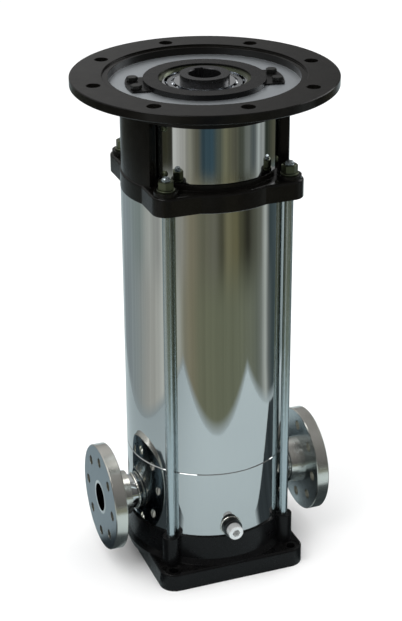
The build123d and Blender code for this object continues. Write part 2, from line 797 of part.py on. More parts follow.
# Two coned disc springs, one on its outer edge and one on its inner edge.
cone_drop = disc_spring_height - disc_spring_thickness
with BuildPart() as disc_springs:
    for level, inner_lift, outer_lift in (
        (discharge_top, cone_drop, 0),
        (discharge_top + disc_spring_height + running_gap, 0, cone_drop - running_gap),
    ):
        with BuildSketch(Plane.XZ):
            with BuildLine():
                Polyline(
                    (disc_spring_inner_radius, level + inner_lift),
                    (disc_spring_outer_radius, level + outer_lift),
                    (disc_spring_outer_radius, level + outer_lift + disc_spring_thickness),
                    (disc_spring_inner_radius, level + inner_lift + disc_spring_thickness),
                    close=True,
                )
            make_face()
        revolve(axis=Axis.Z)
save(disc_springs, "disc_springs")

# ================================================================== pump head
seat_top = head_top - seal_roof_thickness
seat_bottom = seat_top - seal_seat_thickness
vent_place = Plane(origin=(0, vent_offset, head_top))
with BuildPart() as pump_head:
    with BuildSketch(Plane.XZ):
        with BuildLine():
            Polyline(
                (seal_chamber_radius, head_bottom),
                (spigot_radius, head_bottom),
                (spigot_radius, upper_groove),
                (groove_radius, upper_groove),
                (groove_radius, upper_groove + seal_groove_height),
                (spigot_radius, upper_groove + seal_groove_height),
                (spigot_radius, stool_bottom),
                (head_boss_radius, stool_bottom),
                (head_boss_radius, head_top),
                (seal_throat_radius, head_top),
                (seal_throat_radius, seat_top),
                (seal_seat_radius + press_gap, seat_top),
                (seal_seat_radius + press_gap, seat_bottom),
                (seal_chamber_radius, seat_bottom),
                close=True,
            )
        make_face()
    revolve(axis=Axis.Z)
    with BuildSketch(vent_place):
        Circle(vent_thread_diameter / 2 + spigot_gap)
    extrude(amount=head_bottom - head_top, mode=Mode.SUBTRACT)
save(pump_head, "pump_head")

with BuildPart() as vent_plug:
    with BuildSketch(vent_place.offset(plug_seal_thickness)):
        RegularPolygon(vent_hex_size / 2, 6, major_radius=False)
    extrude(amount=vent_head_length)
    with BuildSketch(vent_place.offset(-vent_thread_length)):
        Circle(vent_thread_diameter / 2)
    extrude(amount=vent_thread_length + plug_seal_thickness)
save(vent_plug, "vent_plug")

with BuildPart() as vent_plug_seal:
    with BuildSketch(vent_place):
        Circle(vent_hex_size / 2)
        Circle(vent_thread_diameter / 2 + free_gap, mode=Mode.SUBTRACT)
    extrude(amount=plug_seal_thickness)
save(vent_plug_seal, "vent_plug_seal")

# ================================================================== mechanical seal
seal_face = seat_bottom - seal_nose_length
seal_ring_top = seal_face - free_gap
seal_ring_bottom = seal_face - seal_ring_length
seal_carrier_top = seal_ring_bottom - bellows_length

with BuildPart() as seal_seat:
    with BuildSketch(Plane.XY.offset(seat_bottom)):
        Circle(seal_seat_radius)
    extrude(amount=seal_seat_thickness)
    with BuildSketch(Plane.XY.offset(seal_face)):
        Circle(seal_nose_radius)
    extrude(amount=seal_nose_length)
    with BuildSketch(Plane.XY.offset(seal_face)):
        Circle(seal_throat_radius)
    extrude(amount=seat_top - seal_face, mode=Mode.SUBTRACT)
save(seal_seat, "seal_seat")

seal_ring = ring(shaft_radius + press_gap, seal_nose_radius, seal_ring_bottom, seal_ring_top)
save(seal_ring, "seal_ring")

fold_pitch = bellows_length / bellows_fold_count
bellows_inner = [(bellows_inner_radius, seal_carrier_top)]
for fold in range(bellows_fold_count):
    fold_bottom = seal_carrier_top + fold * fold_pitch
    crest_radius = bellows_inner_radius + bellows_fold_depth - bellows_wall
    bellows_inner.append((crest_radius, fold_bottom + fold_pitch / 2))
    bellows_inner.append((bellows_inner_radius, fold_bottom + fold_pitch))
bellows_outer = [(radius + bellows_wall, height) for radius, height in reversed(bellows_inner)]
with BuildPart() as seal_spring:
    with BuildSketch(Plane.XZ):
        with BuildLine():
            Polyline(*bellows_inner, *bellows_outer, close=True)
        make_face()
    revolve(axis=Axis.Z)
save(seal_spring, "seal_spring")

seal_carrier_bottom = seal_carrier_top - seal_carrier_length
seal_carrier = ring(
    shaft_radius + press_gap, seal_carrier_radius, seal_carrier_bottom, seal_carrier_top
)
save(seal_carrier, "seal_carrier")

# ================================================================== coupling guards and their screws
guard_bottom = stool_collar_top + guard_end_gap
guard_top = neck_bottom - guard_end_gap
guard_screw_heights = (guard_bottom + guard_screw_inset, guard_top - guard_screw_inset)


def guard_screw_angles(facing):
    """Directions of the screws on both flanks of a guard."""
    return (facing - guard_screw_angle, facing + guard_screw_angle)


def coupling_guard(facing):
    """Folded sheet over one window: a raised panel between two set-back flanks."""
    fold_spread = degrees(guard_sheet / guard_panel_radius)
    flank_spread = (guard_spread - guard_panel_spread) / 2 + fold_spread
    flank_angle = (guard_spread - flank_spread) / 2
    fold_angle = (guard_panel_spread - fold_spread) / 2
    flank_inner_radius = guard_flank_radius - guard_sheet
    strips = [sector(guard_panel_radius - guard_sheet, guard_panel_radius, facing, guard_panel_spread)]
    for side in (-1, 1):
        flank_facing = facing + side * flank_angle
        fold_facing = facing + side * fold_angle
        strips.append(sector(flank_inner_radius, guard_flank_radius, flank_facing, flank_spread))
        strips.append(sector(flank_inner_radius, guard_panel_radius, fold_facing, fold_spread))
    with BuildPart() as guard:
        with BuildSketch(Plane.XY.offset(guard_bottom)):
            add(strips)
        extrude(amount=guard_top - guard_bottom)
        for angle in guard_screw_angles(facing):
            for height in guard_screw_heights:
                with BuildSketch(radial_plane(angle, flank_inner_radius - guard_sheet, height)):
                    Circle(guard_screw_radius + free_gap)
                extrude(amount=3 * guard_sheet, mode=Mode.SUBTRACT)
    return guard


save(coupling_guard(-90), "coupling_guard_front")
save(coupling_guard(90), "coupling_guard_rear")

screw_angles = guard_screw_angles(-90) + guard_screw_angles(90)
with BuildPart() as guard_screws:
    for angle in screw_angles:
        for height in guard_screw_heights:
            with BuildSketch(radial_plane(angle, guard_flank_radius, height)):
                Circle(guard_screw_head_radius)
            extrude(amount=guard_screw_head_height)
            with BuildSketch(radial_plane(angle, guard_flank_radius - guard_screw_length, height)):
                Circle(guard_screw_radius)
            extrude(amount=guard_screw_length)
save(guard_screws, "guard_screws")

# ================================================================== motor stool
leg_plan = sector(leg_inner_radius, leg_outer_radius, 0, leg_spread)
lug_outer_radius = guard_flank_radius - guard_sheet - spigot_gap
lug_plans = [
    sector(stool_bore_radius, lug_outer_radius, angle, guard_lug_spread) for angle in screw_angles
]
web_underside = recess_floor - motor_web_thickness
flange_underside = motor_face - motor_flange_thickness
bar_bottom = recess_floor + housing_bar_proud - housing_bar_thickness

with BuildSketch() as housing_bar:
    Rectangle(2 * housing_bar_radius, housing_bar_width, rotation=housing_bar_angle)
    Circle(housing_bar_radius, mode=Mode.INTERSECT)
with BuildSketch() as housing_slot:
    Rectangle(
        2 * housing_bar_radius + 4 * spigot_gap,
        housing_bar_width + 2 * spigot_gap,
        rotation=housing_bar_angle,
    )
    Circle(housing_bar_radius + 2 * spigot_gap, mode=Mode.INTERSECT)

with BuildPart() as motor_stool:
    with BuildSketch(Plane.XY.offset(stool_bottom)):
        RectangleRounded(stool_width, stool_width, stool_corner_radius)
        Circle(stool_rim_radius)
    extrude(amount=stool_flange_thickness)
    fillet(motor_stool.faces().sort_by(Axis.Z)[-1].edges(), stool_edge_round)
    with BuildSketch(Plane.XY.offset(stool_flange_top)):
        Circle(stool_collar_radius)
    extrude(amount=stool_collar_height)
    with BuildSketch(Plane.XY.offset(stool_bottom)):
        Circle(stool_bore_radius)
    extrude(amount=stool_collar_top - stool_bottom, mode=Mode.SUBTRACT)
    with BuildSketch(Plane.XY.offset(stool_bottom)):
        Circle(head_boss_radius + spigot_gap)
    extrude(amount=head_boss_height, mode=Mode.SUBTRACT)
    # Raised seats and holes for the tie rods.
    with BuildSketch(Plane.XY.offset(stool_flange_top)):
        with GridLocations(rod_pitch, rod_pitch, 2, 2):
            Circle(rod_boss_radius)
    extrude(amount=rod_boss_height)
    with BuildSketch(Plane.XY.offset(stool_bottom)):
        with GridLocations(rod_pitch, rod_pitch, 2, 2):
            Circle(rod_diameter / 2 + free_gap)
    extrude(amount=rod_boss_top - stool_bottom, mode=Mode.SUBTRACT)
    # Two legs and the lugs for the guard screws.
    with BuildSketch(Plane.XY.offset(stool_flange_top)):
        with PolarLocations(0, 2):
            add(leg_plan)
    extrude(amount=neck_bottom - stool_flange_top)
    with BuildSketch(Plane.XY.offset(stool_collar_top)):
        add(lug_plans)
    extrude(amount=guard_lug_height)
    with BuildSketch(Plane.XY.offset(neck_bottom - guard_lug_height)):
        add(lug_plans)
    extrude(amount=guard_lug_height)
    # Neck and motor flange with the register for the motor spigot.
    with BuildSketch(Plane.XZ):
        with BuildLine():
            Polyline(
                (housing_radius + spigot_gap, neck_bottom),
                (neck_radius, neck_bottom),
                (neck_radius, web_underside - neck_flare),
                (neck_radius + neck_flare, web_underside),
                (motor_web_radius, web_underside),
                (motor_web_radius + neck_flare, flange_underside),
                (motor_flange_radius - motor_flange_chamfer, flange_underside),
                (motor_flange_radius, flange_underside + motor_flange_chamfer),
                (motor_flange_radius, motor_face - motor_flange_chamfer),
                (motor_flange_radius - motor_flange_chamfer, motor_face),
                (motor_relief_radius, motor_face),
                (motor_relief_radius, motor_face - motor_relief_depth),
                (motor_spigot_radius, motor_face - motor_relief_depth),
                (motor_spigot_radius, recess_floor),
                (housing_radius + spigot_gap, recess_floor),
                close=True,
            )
        make_face()
    revolve(axis=Axis.Z)
    with BuildSketch(Plane.XY.offset(flange_underside)):
        with PolarLocations(motor_bolt_circle / 2, motor_bolt_count):
            Circle(motor_bolt_hole_diameter / 2)
    extrude(amount=motor_flange_thickness, mode=Mode.SUBTRACT)
    # Slot across the recess floor for the bar of the bearing housing, and its tapped holes.
    with BuildSketch(Plane.XY.offset(bar_bottom)):
        add(housing_slot.sketch)
    extrude(amount=housing_bar_thickness, mode=Mode.SUBTRACT)
    with BuildSketch(Plane.XY.offset(bar_bottom + housing_bar_thickness - housing_bolt_length)):
        with Locations(Location((0, 0), housing_bar_angle)):
            with GridLocations(housing_bolt_circle, housing_bolt_pitch, 2, 2):
                Circle(housing_bolt_radius + running_gap)
    extrude(amount=housing_bolt_length, mode=Mode.SUBTRACT)
    for angle in screw_angles:
        for height in guard_screw_heights:
            with BuildSketch(radial_plane(angle, stool_bore_radius, height)):
                Circle(guard_screw_radius + running_gap)
            extrude(amount=lug_outer_radius - stool_bore_radius + 1, mode=Mode.SUBTRACT)
save(motor_stool, "motor_stool")

# ================================================================== bearing housing
bearing_bore = bearing_outer_radius + press_gap
with BuildPart() as bearing_housing:
    with BuildSketch(Plane.XY.offset(bar_bottom)):
        add(housing_bar.sketch)
    extrude(amount=housing_bar_thickness)
    with BuildSketch(Plane.XY.offset(bearing_bottom - housing_lip_thickness)):
        Circle(housing_radius)
    extrude(amount=motor_face - housing_drop - bearing_bottom + housing_lip_thickness)
    with BuildSketch(Plane.XY.offset(bearing_bottom - housing_lip_thickness)):
        Circle(housing_lip_radius)
    extrude(amount=housing_lip_thickness, mode=Mode.SUBTRACT)
    with BuildSketch(Plane.XY.offset(bearing_bottom)):
        Circle(bearing_bore)
    extrude(amount=motor_face - housing_drop - bearing_bottom, mode=Mode.SUBTRACT)
    with BuildSketch(Plane.XY.offset(bearing_top)):
        Circle(bearing_bore + circlip_groove_depth)
    extrude(amount=circlip_thickness + running_gap, mode=Mode.SUBTRACT)
    with BuildSketch(Plane.XY.offset(bar_bottom)):
        with Locations(Location((0, 0), housing_bar_angle)):
            with GridLocations(housing_bolt_circle, housing_bolt_pitch, 2, 2):
                Circle(housing_bolt_radius + free_gap)
    extrude(amount=housing_bar_thickness, mode=Mode.SUBTRACT)
save(bearing_housing, "bearing_housing")

bar_top = bar_bottom + housing_bar_thickness
with BuildPart() as housing_bolts:
    with BuildSketch(Plane.XY.offset(bar_top)):
        with Locations(Location((0, 0), housing_bar_angle)):
            with GridLocations(housing_bolt_circle, housing_bolt_pitch, 2, 2):
                RegularPolygon(housing_bolt_head_size / 2, 6, major_radius=False)
    extrude(amount=housing_bolt_head_height)
    with BuildSketch(Plane.XY.offset(bar_top - housing_bolt_length)):
        with Locations(Location((0, 0), housing_bar_angle)):
            with GridLocations(housing_bolt_circle, housing_bolt_pitch, 2, 2):
                Circle(housing_bolt_radius)
    extrude(amount=housing_bolt_length)
save(housing_bolts, "housing_bolts")

with BuildPart() as bearing_circlip:
    with BuildSketch(Plane.XY.offset(bearing_top)):
        add(
            sector(
                circlip_inner_radius,
                bearing_bore + circlip_groove_depth - spigot_gap,
                0,
                360 - circlip_opening,
            )
        )
    extrude(amount=circlip_thickness)
save(bearing_circlip, "bearing_circlip")

# ================================================================== ball bearing
race_radius = ball_radius + free_gap


def bearing_ring(inner_radius, outer_radius):
    """One ring of the ball bearing, with the groove that the balls run in."""
    with BuildPart(Plane.XY.offset(bearing_middle)) as body:
        Cylinder(outer_radius, bearing_width)
        Cylinder(inner_radius, bearing_width, mode=Mode.SUBTRACT)
        Torus(ball_circle_radius, race_radius, mode=Mode.SUBTRACT)
    return body


inner_ring = bearing_ring(
    bearing_inner_radius + press_gap, bearing_inner_radius + bearing_ring_thickness
)
save(inner_ring, "bearing_inner_ring")
outer_ring = bearing_ring(bearing_outer_radius - bearing_ring_thickness, bearing_outer_radius)
save(outer_ring, "bearing_outer_ring")

with BuildPart(Plane.XY.offset(bearing_middle)) as bearing_balls:
    with PolarLocations(ball_circle_radius, ball_count):
        Sphere(ball_radius)
save(bearing_balls, "bearing_balls")

with BuildPart(Plane.XY.offset(bearing_middle)) as bearing_cage:
    Cylinder(cage_outer_radius, cage_height)
    Cylinder(cage_inner_radius, cage_height, mode=Mode.SUBTRACT)
    with PolarLocations(ball_circle_radius, ball_count):
        Cylinder(
            ball_radius + spigot_gap,
            2 * (cage_outer_radius - cage_inner_radius),
            rotation=(0, 90, 0),
            mode=Mode.SUBTRACT,
        )
save(bearing_cage, "bearing_cage")

# ================================================================== drive hub and its clamp
hub_bottom = head_top + hub_neck_clearance
hub_neck_top = shaft_top + hub_neck_relief
with BuildPart() as drive_hub:
    with BuildSketch(Plane.XZ):
        with BuildLine():
            Polyline(
                (shaft_radius + press_gap, hub_bottom),
                (hub_neck_radius, hub_bottom),
                (hub_neck_radius, hub_neck_top),
                (hub_radius, hub_neck_top),
                (hub_radius, bearing_bottom - hub_shoulder_height),
                (hub_shoulder_radius, bearing_bottom - hub_shoulder_height),
                (hub_shoulder_radius, bearing_bottom),
                (hub_radius, bearing_bottom),
                (hub_radius, motor_face),
                (drive_bore_radius + drive_bore_chamfer, motor_face),
                (drive_bore_radius, motor_face - drive_bore_chamfer),
                (drive_bore_radius, drive_bore_bottom),
                (0, drive_bore_bottom),
                (0, shaft_top + running_gap),
                (shaft_radius + press_gap, shaft_top + running_gap),
                close=True,
            )
        make_face()
    revolve(axis=Axis.Z)
    with BuildSketch(Plane.XY.offset(drive_bore_bottom)):
        with Locations((0, drive_bore_radius / 2 + keyway_depth / 2)):
            Rectangle(keyway_width, drive_bore_radius + keyway_depth)
    extrude(amount=drive_bore_depth, mode=Mode.SUBTRACT)
    with BuildSketch(Plane.XY.offset(hub_bottom)):
        Rectangle(hub_slot_width, 2 * hub_neck_radius + 1)
    extrude(amount=shaft_top - hub_bottom, mode=Mode.SUBTRACT)
    with BuildSketch(Plane.YZ.offset(-hub_radius)):
        with Locations((0, drive_pin_height)):
            Circle(drive_pin_radius + press_gap)
    extrude(amount=2 * hub_radius, mode=Mode.SUBTRACT)
save(drive_hub, "drive_hub")

with BuildPart() as drive_pin:
    with BuildSketch(Plane.YZ.offset(1 - hub_neck_radius)):
        with Locations((0, drive_pin_height)):
            Circle(drive_pin_radius)
    extrude(amount=2 * hub_neck_radius - 2)
save(drive_pin, "drive_pin")

clamp_bottom = drive_pin_height - clamp_height / 2


def clamp_half(side):
    """Half of the split clamp on the hub neck; side is -1 for the front and 1 for the rear."""
    with BuildPart() as half:
        with BuildSketch(Plane.XY.offset(clamp_bottom)):
            Circle(clamp_radius)
            Circle(hub_neck_radius + press_gap, mode=Mode.SUBTRACT)
            with Locations((0, side * (clamp_radius + clamp_split) / 2)):
                Rectangle(2 * clamp_radius, clamp_radius, mode=Mode.INTERSECT)
        extrude(amount=clamp_height)
        with BuildSketch(Plane.XZ.offset(-clamp_bolt_depth)):
            with Locations((-clamp_bolt_offset, drive_pin_height), (clamp_bolt_offset, drive_pin_height)):
                Circle(clamp_bolt_radius + running_gap)
        extrude(amount=clamp_bolt_depth + clamp_bolt_seat, mode=Mode.SUBTRACT)
        with BuildSketch(Plane.XZ.offset(clamp_bolt_seat)):
            with Locations((-clamp_bolt_offset, drive_pin_height), (clamp_bolt_offset, drive_pin_height)):
                Circle(clamp_bolt_head_radius + free_gap)
        extrude(amount=clamp_radius - clamp_bolt_seat, mode=Mode.SUBTRACT)
    return half


save(clamp_half(-1), "clamp_half_front")
save(clamp_half(1), "clamp_half_rear")

with BuildPart() as clamp_bolts:
    with BuildSketch(Plane.XZ.offset(-clamp_bolt_depth)):
        with Locations((-clamp_bolt_offset, drive_pin_height), (clamp_bolt_offset, drive_pin_height)):
            Circle(clamp_bolt_radius)
    extrude(amount=clamp_bolt_depth + clamp_bolt_seat)
    with BuildSketch(Plane.XZ.offset(clamp_bolt_seat)):
        with Locations((-clamp_bolt_offset, drive_pin_height), (clamp_bolt_offset, drive_pin_height)):
            Circle(clamp_bolt_head_radius)
    extrude(amount=clamp_bolt_head_length)
save(clamp_bolts, "clamp_bolts")
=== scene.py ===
# %% [markdown]
# The pump stands in a row of reusable parts, so its CAD model is loaded first and never moved.
# Everything made below sits in the same frame, in metres: the axis of the pump is Z, the base
# stands on z = 0, the inlet looks towards -X and the drain plug towards -Y.

import json
from math import atan2, cos, pi, radians, sin, sqrt, tan, tau

import bmesh
import bpy
from mathutils import Matrix, Vector


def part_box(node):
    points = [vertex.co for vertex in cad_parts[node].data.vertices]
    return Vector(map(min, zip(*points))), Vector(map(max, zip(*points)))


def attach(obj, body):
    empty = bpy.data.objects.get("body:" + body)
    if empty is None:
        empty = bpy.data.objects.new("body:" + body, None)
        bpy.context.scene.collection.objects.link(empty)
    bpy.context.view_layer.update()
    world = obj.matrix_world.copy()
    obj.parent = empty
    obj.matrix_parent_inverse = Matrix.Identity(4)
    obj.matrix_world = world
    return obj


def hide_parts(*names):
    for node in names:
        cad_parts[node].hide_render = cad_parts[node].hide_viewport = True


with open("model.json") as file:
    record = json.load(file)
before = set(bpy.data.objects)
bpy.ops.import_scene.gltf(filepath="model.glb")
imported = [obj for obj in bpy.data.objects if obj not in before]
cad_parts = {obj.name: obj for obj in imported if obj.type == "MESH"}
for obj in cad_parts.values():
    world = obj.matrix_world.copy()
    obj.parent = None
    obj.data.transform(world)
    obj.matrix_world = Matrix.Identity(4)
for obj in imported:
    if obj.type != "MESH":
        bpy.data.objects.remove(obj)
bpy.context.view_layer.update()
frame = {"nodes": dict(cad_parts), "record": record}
nodes = frame["nodes"]
scene = bpy.context.scene
mm = 0.001
port_height = 101 * mm

# %% [markdown]
# A mirror shows every fault of its mesh, and a casting shows every sharp edge that a real one
# doesn't have. These helpers turn a mesh into a finished piece: its normals look outwards, it is
# smooth except at true corners, it rides on a body and the CAD node it stands for is hidden.


# %% Helpers for pieces
def finish_piece(bm, name, body, stands_for=None, corner=40.0):
    bmesh.ops.remove_doubles(bm, verts=bm.verts, dist=1e-6)
    bmesh.ops.recalc_face_normals(bm, faces=bm.faces)
    mesh = bpy.data.meshes.new(name)
    bm.to_mesh(mesh)
    bm.free()
    mesh.shade_smooth()
    mesh.set_sharp_from_angle(angle=radians(corner))
    piece = bpy.data.objects.new(name, mesh)
    scene.collection.objects.link(piece)
    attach(piece, body)
    if stands_for:
        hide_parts(stands_for)
    print(name, len(mesh.polygons), "faces")
    return piece


def add_lathe(bm, outline, steps, centre=(0, 0, 0)):
    """Turns a closed outline of (radius, height) points about an upright axis."""
    ring = [bm.verts.new((radius, 0, height)) for radius, height in outline]
    edges = [bm.edges.new((a, b)) for a, b in zip(ring, ring[1:] + ring[:1])]
    bmesh.ops.spin(
        bm,
        geom=ring + edges,
        cent=(0, 0, 0),
        axis=(0, 0, 1),
        angle=tau,
        steps=steps,
        use_merge=True,
        use_duplicate=False,
    )
    bmesh.ops.transform(bm, matrix=Matrix.Translation(centre), verts=reachable(ring[0]))


def reachable(start):
    """The vertices of the loose part that holds one vertex."""
    found, waiting = {start}, [start]
    while waiting:
        vertex = waiting.pop()
        for edge in vertex.link_edges:
            other = edge.other_vert(vertex)
            if other not in found:
                found.add(other)
                waiting.append(other)
    return list(found)


def rounded(points, radius, steps=4):
    """Rounds each corner of a closed outline."""
    result = []
    count = len(points)
    for index in range(count):
        corner = Vector(points[index])
        before = Vector(points[index - 1]) - corner
        after = Vector(points[(index + 1) % count]) - corner
        half = before.angle(after) / 2
        reach = min(radius / tan(half), before.length * 0.45, after.length * 0.45)
        size = reach * tan(half)
        start = corner + before.normalized() * reach
        end = corner + after.normalized() * reach
        inward = (before.normalized() + after.normalized()).normalized()
        centre = corner + inward * (size / sin(half))
        arm = start - centre
        sweep = arm.angle_signed(end - centre)
        for step in range(steps + 1):
            turn = -sweep * step / steps
            x = arm.x * cos(turn) - arm.y * sin(turn)
            y = arm.x * sin(turn) + arm.y * cos(turn)
            result.append(tuple(centre + Vector((x, y))))
    return result


def add_hexagon(bm, across, bottom, top, bore, place, turn):
    """A hexagon nut or head whose corners are cut back by a turned cone, as on real ones."""
    flat = across / 2
    chamfer_start = 0.94 * flat
    slope = tan(radians(30))
    across_steps = 8
    rows = []
    for side in range(6):
        for step in range(across_steps):
            angle = tau * (side + step / across_steps) / 6 + turn
            inside = (angle - turn) % (tau / 6) - tau / 12
            reach = flat / cos(inside)
            drop = max(0.0, reach - chamfer_start) * slope
            levels = [
                (bore, bottom),
                (chamfer_start, bottom),
                (reach, bottom + drop),
                (reach, top - drop),
                (chamfer_start, top),
                (bore, top),
            ]
            rows.append(
                [
                    bm.verts.new((place[0] + r * cos(angle), place[1] + r * sin(angle), z))
                    for r, z in levels
                ]
            )
    count = len(rows)
    for index in range(count):
        near, far = rows[index], rows[(index + 1) % count]
        for level in range(len(near)):
            above = (level + 1) % len(near)
            bm.faces.new((near[level], far[level], far[above], near[above]))


print("helpers ready")

# %% [markdown]
# The looks are made from a few node groups that many finishes share. Each gives only a mask, a
# height or a normal, and the shader itself stays in the material. Object coordinates are used
# throughout, so a finish stays where it is on a piece that turns.


# %% Helpers for node groups
def new_group(name, inputs, outputs):
    group = bpy.data.node_groups.new(name, "ShaderNodeTree")
    for label, kind, value in inputs:
        socket = group.interface.new_socket(name=label, in_out="INPUT", socket_type=kind)
        if value is not None:
            socket.default_value = value
    for label, kind in outputs:
        group.interface.new_socket(name=label, in_out="OUTPUT", socket_type=kind)
    return group, group.nodes.new("NodeGroupInput"), group.nodes.new("NodeGroupOutput")


def node(tree, kind, **settings):
    made = tree.nodes.new(kind)
    for key, value in settings.items():
        setattr(made, key, value)
    return made


def link(tree, source, target):
    tree.links.new(source, target)


def math(tree, operation, first, second=None, clamp=False):
    made = node(tree, "ShaderNodeMath", operation=operation, use_clamp=clamp)
    for index, value in enumerate((first, second)):
        if value is None:
            continue
        if isinstance(value, (int, float)):
            made.inputs[index].default_value = value
        else:
            link(tree, value, made.inputs[index])
    return made.outputs[0]


def vector_math(tree, operation, first, second=None):
    made = node(tree, "ShaderNodeVectorMath", operation=operation)
    for index, value in enumerate((first, second)):
        if value is None:
            continue
        if isinstance(value, tuple):
            made.inputs[index].default_value = value
        else:
            link(tree, value, made.inputs[index])
    return made


def noise(tree, vector, scale, detail=3.0, roughness=0.55):
    made = node(tree, "ShaderNodeTexNoise")
    link(tree, vector, made.inputs["Vector"])
    made.inputs["Scale"].default_value = scale
    made.inputs["Detail"].default_value = detail
    made.inputs["Roughness"].default_value = roughness
    return made.outputs["Fac"]


FLOAT, VECTOR = "NodeSocketFloat", "NodeSocketVector"
print("node helpers ready")

# %% [markdown]
# Cast iron keeps the print of the sand under its enamel: a fine grain, and a slow wave where the
# enamel ran. Two sizes of noise give both. A mask of the same waves breaks up colour and gloss.

# %% Group: skin of a casting
group, start, end = new_group(
    "casting_skin", [("Vector", VECTOR, None)], [("Height", FLOAT), ("Mask", FLOAT)]
)
grain = noise(group, start.outputs[0], 900.0, 2.0)
wave = noise(group, start.outputs[0], 90.0, 3.0)
pool = noise(group, start.outputs[0], 14.0, 2.0)
link(group, math(group, "ADD", math(group, "MULTIPLY", grain, 0.25), wave), end.inputs["Height"])
link(group, math(group, "MULTIPLY", math(group, "ADD", wave, pool), 0.5), end.inputs["Mask"])
casting_skin = group
print(group.name)

# %% [markdown]
# A turned face carries rings about its own axis. The distance from the axis feeds a noise in one
# dimension, so the rings have uneven widths, as a worn tool leaves them.

# %% Group: turned rings
group, start, end = new_group(
    "turned_rings",
    [("Vector", VECTOR, None), ("Axis", VECTOR, (0, 0, 1)), ("Centre", VECTOR, (0, 0, 0))],
    [("Height", FLOAT), ("Mask", FLOAT)],
)
arm = vector_math(group, "SUBTRACT", start.outputs["Vector"], start.outputs["Centre"])
cross = vector_math(group, "CROSS_PRODUCT", arm.outputs[0], start.outputs["Axis"])
distance = vector_math(group, "LENGTH", cross.outputs[0]).outputs["Value"]
rings = node(group, "ShaderNodeTexNoise", noise_dimensions="1D")
link(group, math(group, "MULTIPLY", distance, 1000.0), rings.inputs["W"])
rings.inputs["Scale"].default_value = 1.6
rings.inputs["Detail"].default_value = 4.0
cloud = noise(group, start.outputs["Vector"], 40.0)
link(group, rings.outputs["Fac"], end.inputs["Height"])
link(
    group,
    math(group, "MULTIPLY", math(group, "ADD", rings.outputs["Fac"], cloud), 0.5),
    end.inputs["Mask"],
)
turned_rings = group
print(group.name)

# %% [markdown]
# Polished sheet is never quite even: the belt leaves faint lines along the tube, and handling
# leaves patches that reflect a little softer. Stretched noise gives the lines.

# %% Group: polished sheet
group, start, end = new_group(
    "polished_sheet", [("Vector", VECTOR, None)], [("Height", FLOAT), ("Mask", FLOAT)]
)
stretched = vector_math(group, "MULTIPLY", start.outputs[0], (1.0, 1.0, 0.02))
lines = noise(group, stretched.outputs[0], 1500.0, 2.0)
patch = noise(group, start.outputs[0], 11.0, 4.0)
link(group, math(group, "ADD", math(group, "MULTIPLY", lines, 0.3), patch), end.inputs["Height"])
link(group, math(group, "MULTIPLY", math(group, "ADD", lines, patch), 0.5), end.inputs["Mask"])
polished_sheet = group
print(group.name)

# %% [markdown]
# The wall of a round piece is cut into flats by its mesh, and a mirror shows each one. Where a
# flat looks almost straight away from the axis, this group gives the true normal of the cylinder
# instead. Everything else keeps its own.

# %% Group: true round normal
straight_enough = 0.99  # cosine of the angle to the true normal
group, start, end = new_group("true_round", [("Vector", VECTOR, None)], [("Normal", VECTOR)])
flat_arm = vector_math(group, "MULTIPLY", start.outputs[0], (1.0, 1.0, 0.0))
arm = vector_math(group, "NORMALIZE", flat_arm.outputs[0])
to_world = node(group, "ShaderNodeVectorTransform", vector_type="NORMAL")
to_world.convert_from = "OBJECT"
to_world.convert_to = "WORLD"
link(group, arm.outputs[0], to_world.inputs[0])
geometry = node(group, "ShaderNodeNewGeometry")
facing = vector_math(group, "DOT_PRODUCT", geometry.outputs["True Normal"], to_world.outputs[0])
same = facing.outputs["Value"]
is_round = math(group, "GREATER_THAN", math(group, "ABSOLUTE", same), straight_enough)
signed = vector_math(group, "SCALE", to_world.outputs[0])
link(group, math(group, "SIGN", same), signed.inputs["Scale"])
choose = node(group, "ShaderNodeMix", data_type="VECTOR")
link(group, is_round, choose.inputs["Factor"])
link(group, geometry.outputs["Normal"], choose.inputs[4])
link(group, signed.outputs[0], choose.inputs[5])
link(group, choose.outputs[1], end.inputs[0])
true_round = group
print(group.name)

# %% [markdown]
# Dust settles on faces that look up and on nothing else. The mask is the upward part of the
# normal, broken by noise.

# %% Group: settled dust
group, start, end = new_group("settled_dust", [("Vector", VECTOR, None)], [("Mask", FLOAT)])
geometry = node(group, "ShaderNodeNewGeometry")
split = node(group, "ShaderNodeSeparateXYZ")
link(group, geometry.outputs["Normal"], split.inputs[0])
upward = math(group, "POWER", math(group, "MAXIMUM", split.outputs["Z"], 0.0), 6.0)
speck = noise(group, start.outputs[0], 60.0, 6.0, 0.7)
patchy = math(group, "MULTIPLY", math(group, "SUBTRACT", speck, 0.42), 3.0, clamp=True)
link(group, math(group, "MULTIPLY", upward, patchy), end.inputs["Mask"])
settled_dust = group
print(group.name)


# %% [markdown]
# Some solids carry a second surface: the floor of the motor recess is machined bare. Others carry
# painted light: the boss of the drain is painted near black as painted shade next to the polished
# casing, and the faces of the port flanges get a painted tone. A patch group marks such a place by
# its shape.

# %% Groups: patches of another surface and of painted light
group, start, end = new_group(
    "level_face",
    [("Vector", VECTOR, None), ("Level", FLOAT, 0.0), ("Inner", FLOAT, 0.0), ("Outer", FLOAT, 1.0)],
    [("Mask", FLOAT)],
)
split = node(group, "ShaderNodeSeparateXYZ")
link(group, start.outputs["Vector"], split.inputs[0])
away = math(group, "ABSOLUTE", math(group, "SUBTRACT", split.outputs["Z"], start.outputs["Level"]))
flat_arm = vector_math(group, "MULTIPLY", start.outputs["Vector"], (1.0, 1.0, 0.0))
reach = vector_math(group, "LENGTH", flat_arm.outputs[0]).outputs["Value"]
facing = node(group, "ShaderNodeSeparateXYZ")
link(group, node(group, "ShaderNodeNewGeometry").outputs["Normal"], facing.inputs[0])
mask = math(group, "LESS_THAN", away, 0.4 * mm)
mask = math(group, "MULTIPLY", mask, math(group, "GREATER_THAN", reach, start.outputs["Inner"]))
mask = math(group, "MULTIPLY", mask, math(group, "LESS_THAN", reach, start.outputs["Outer"]))
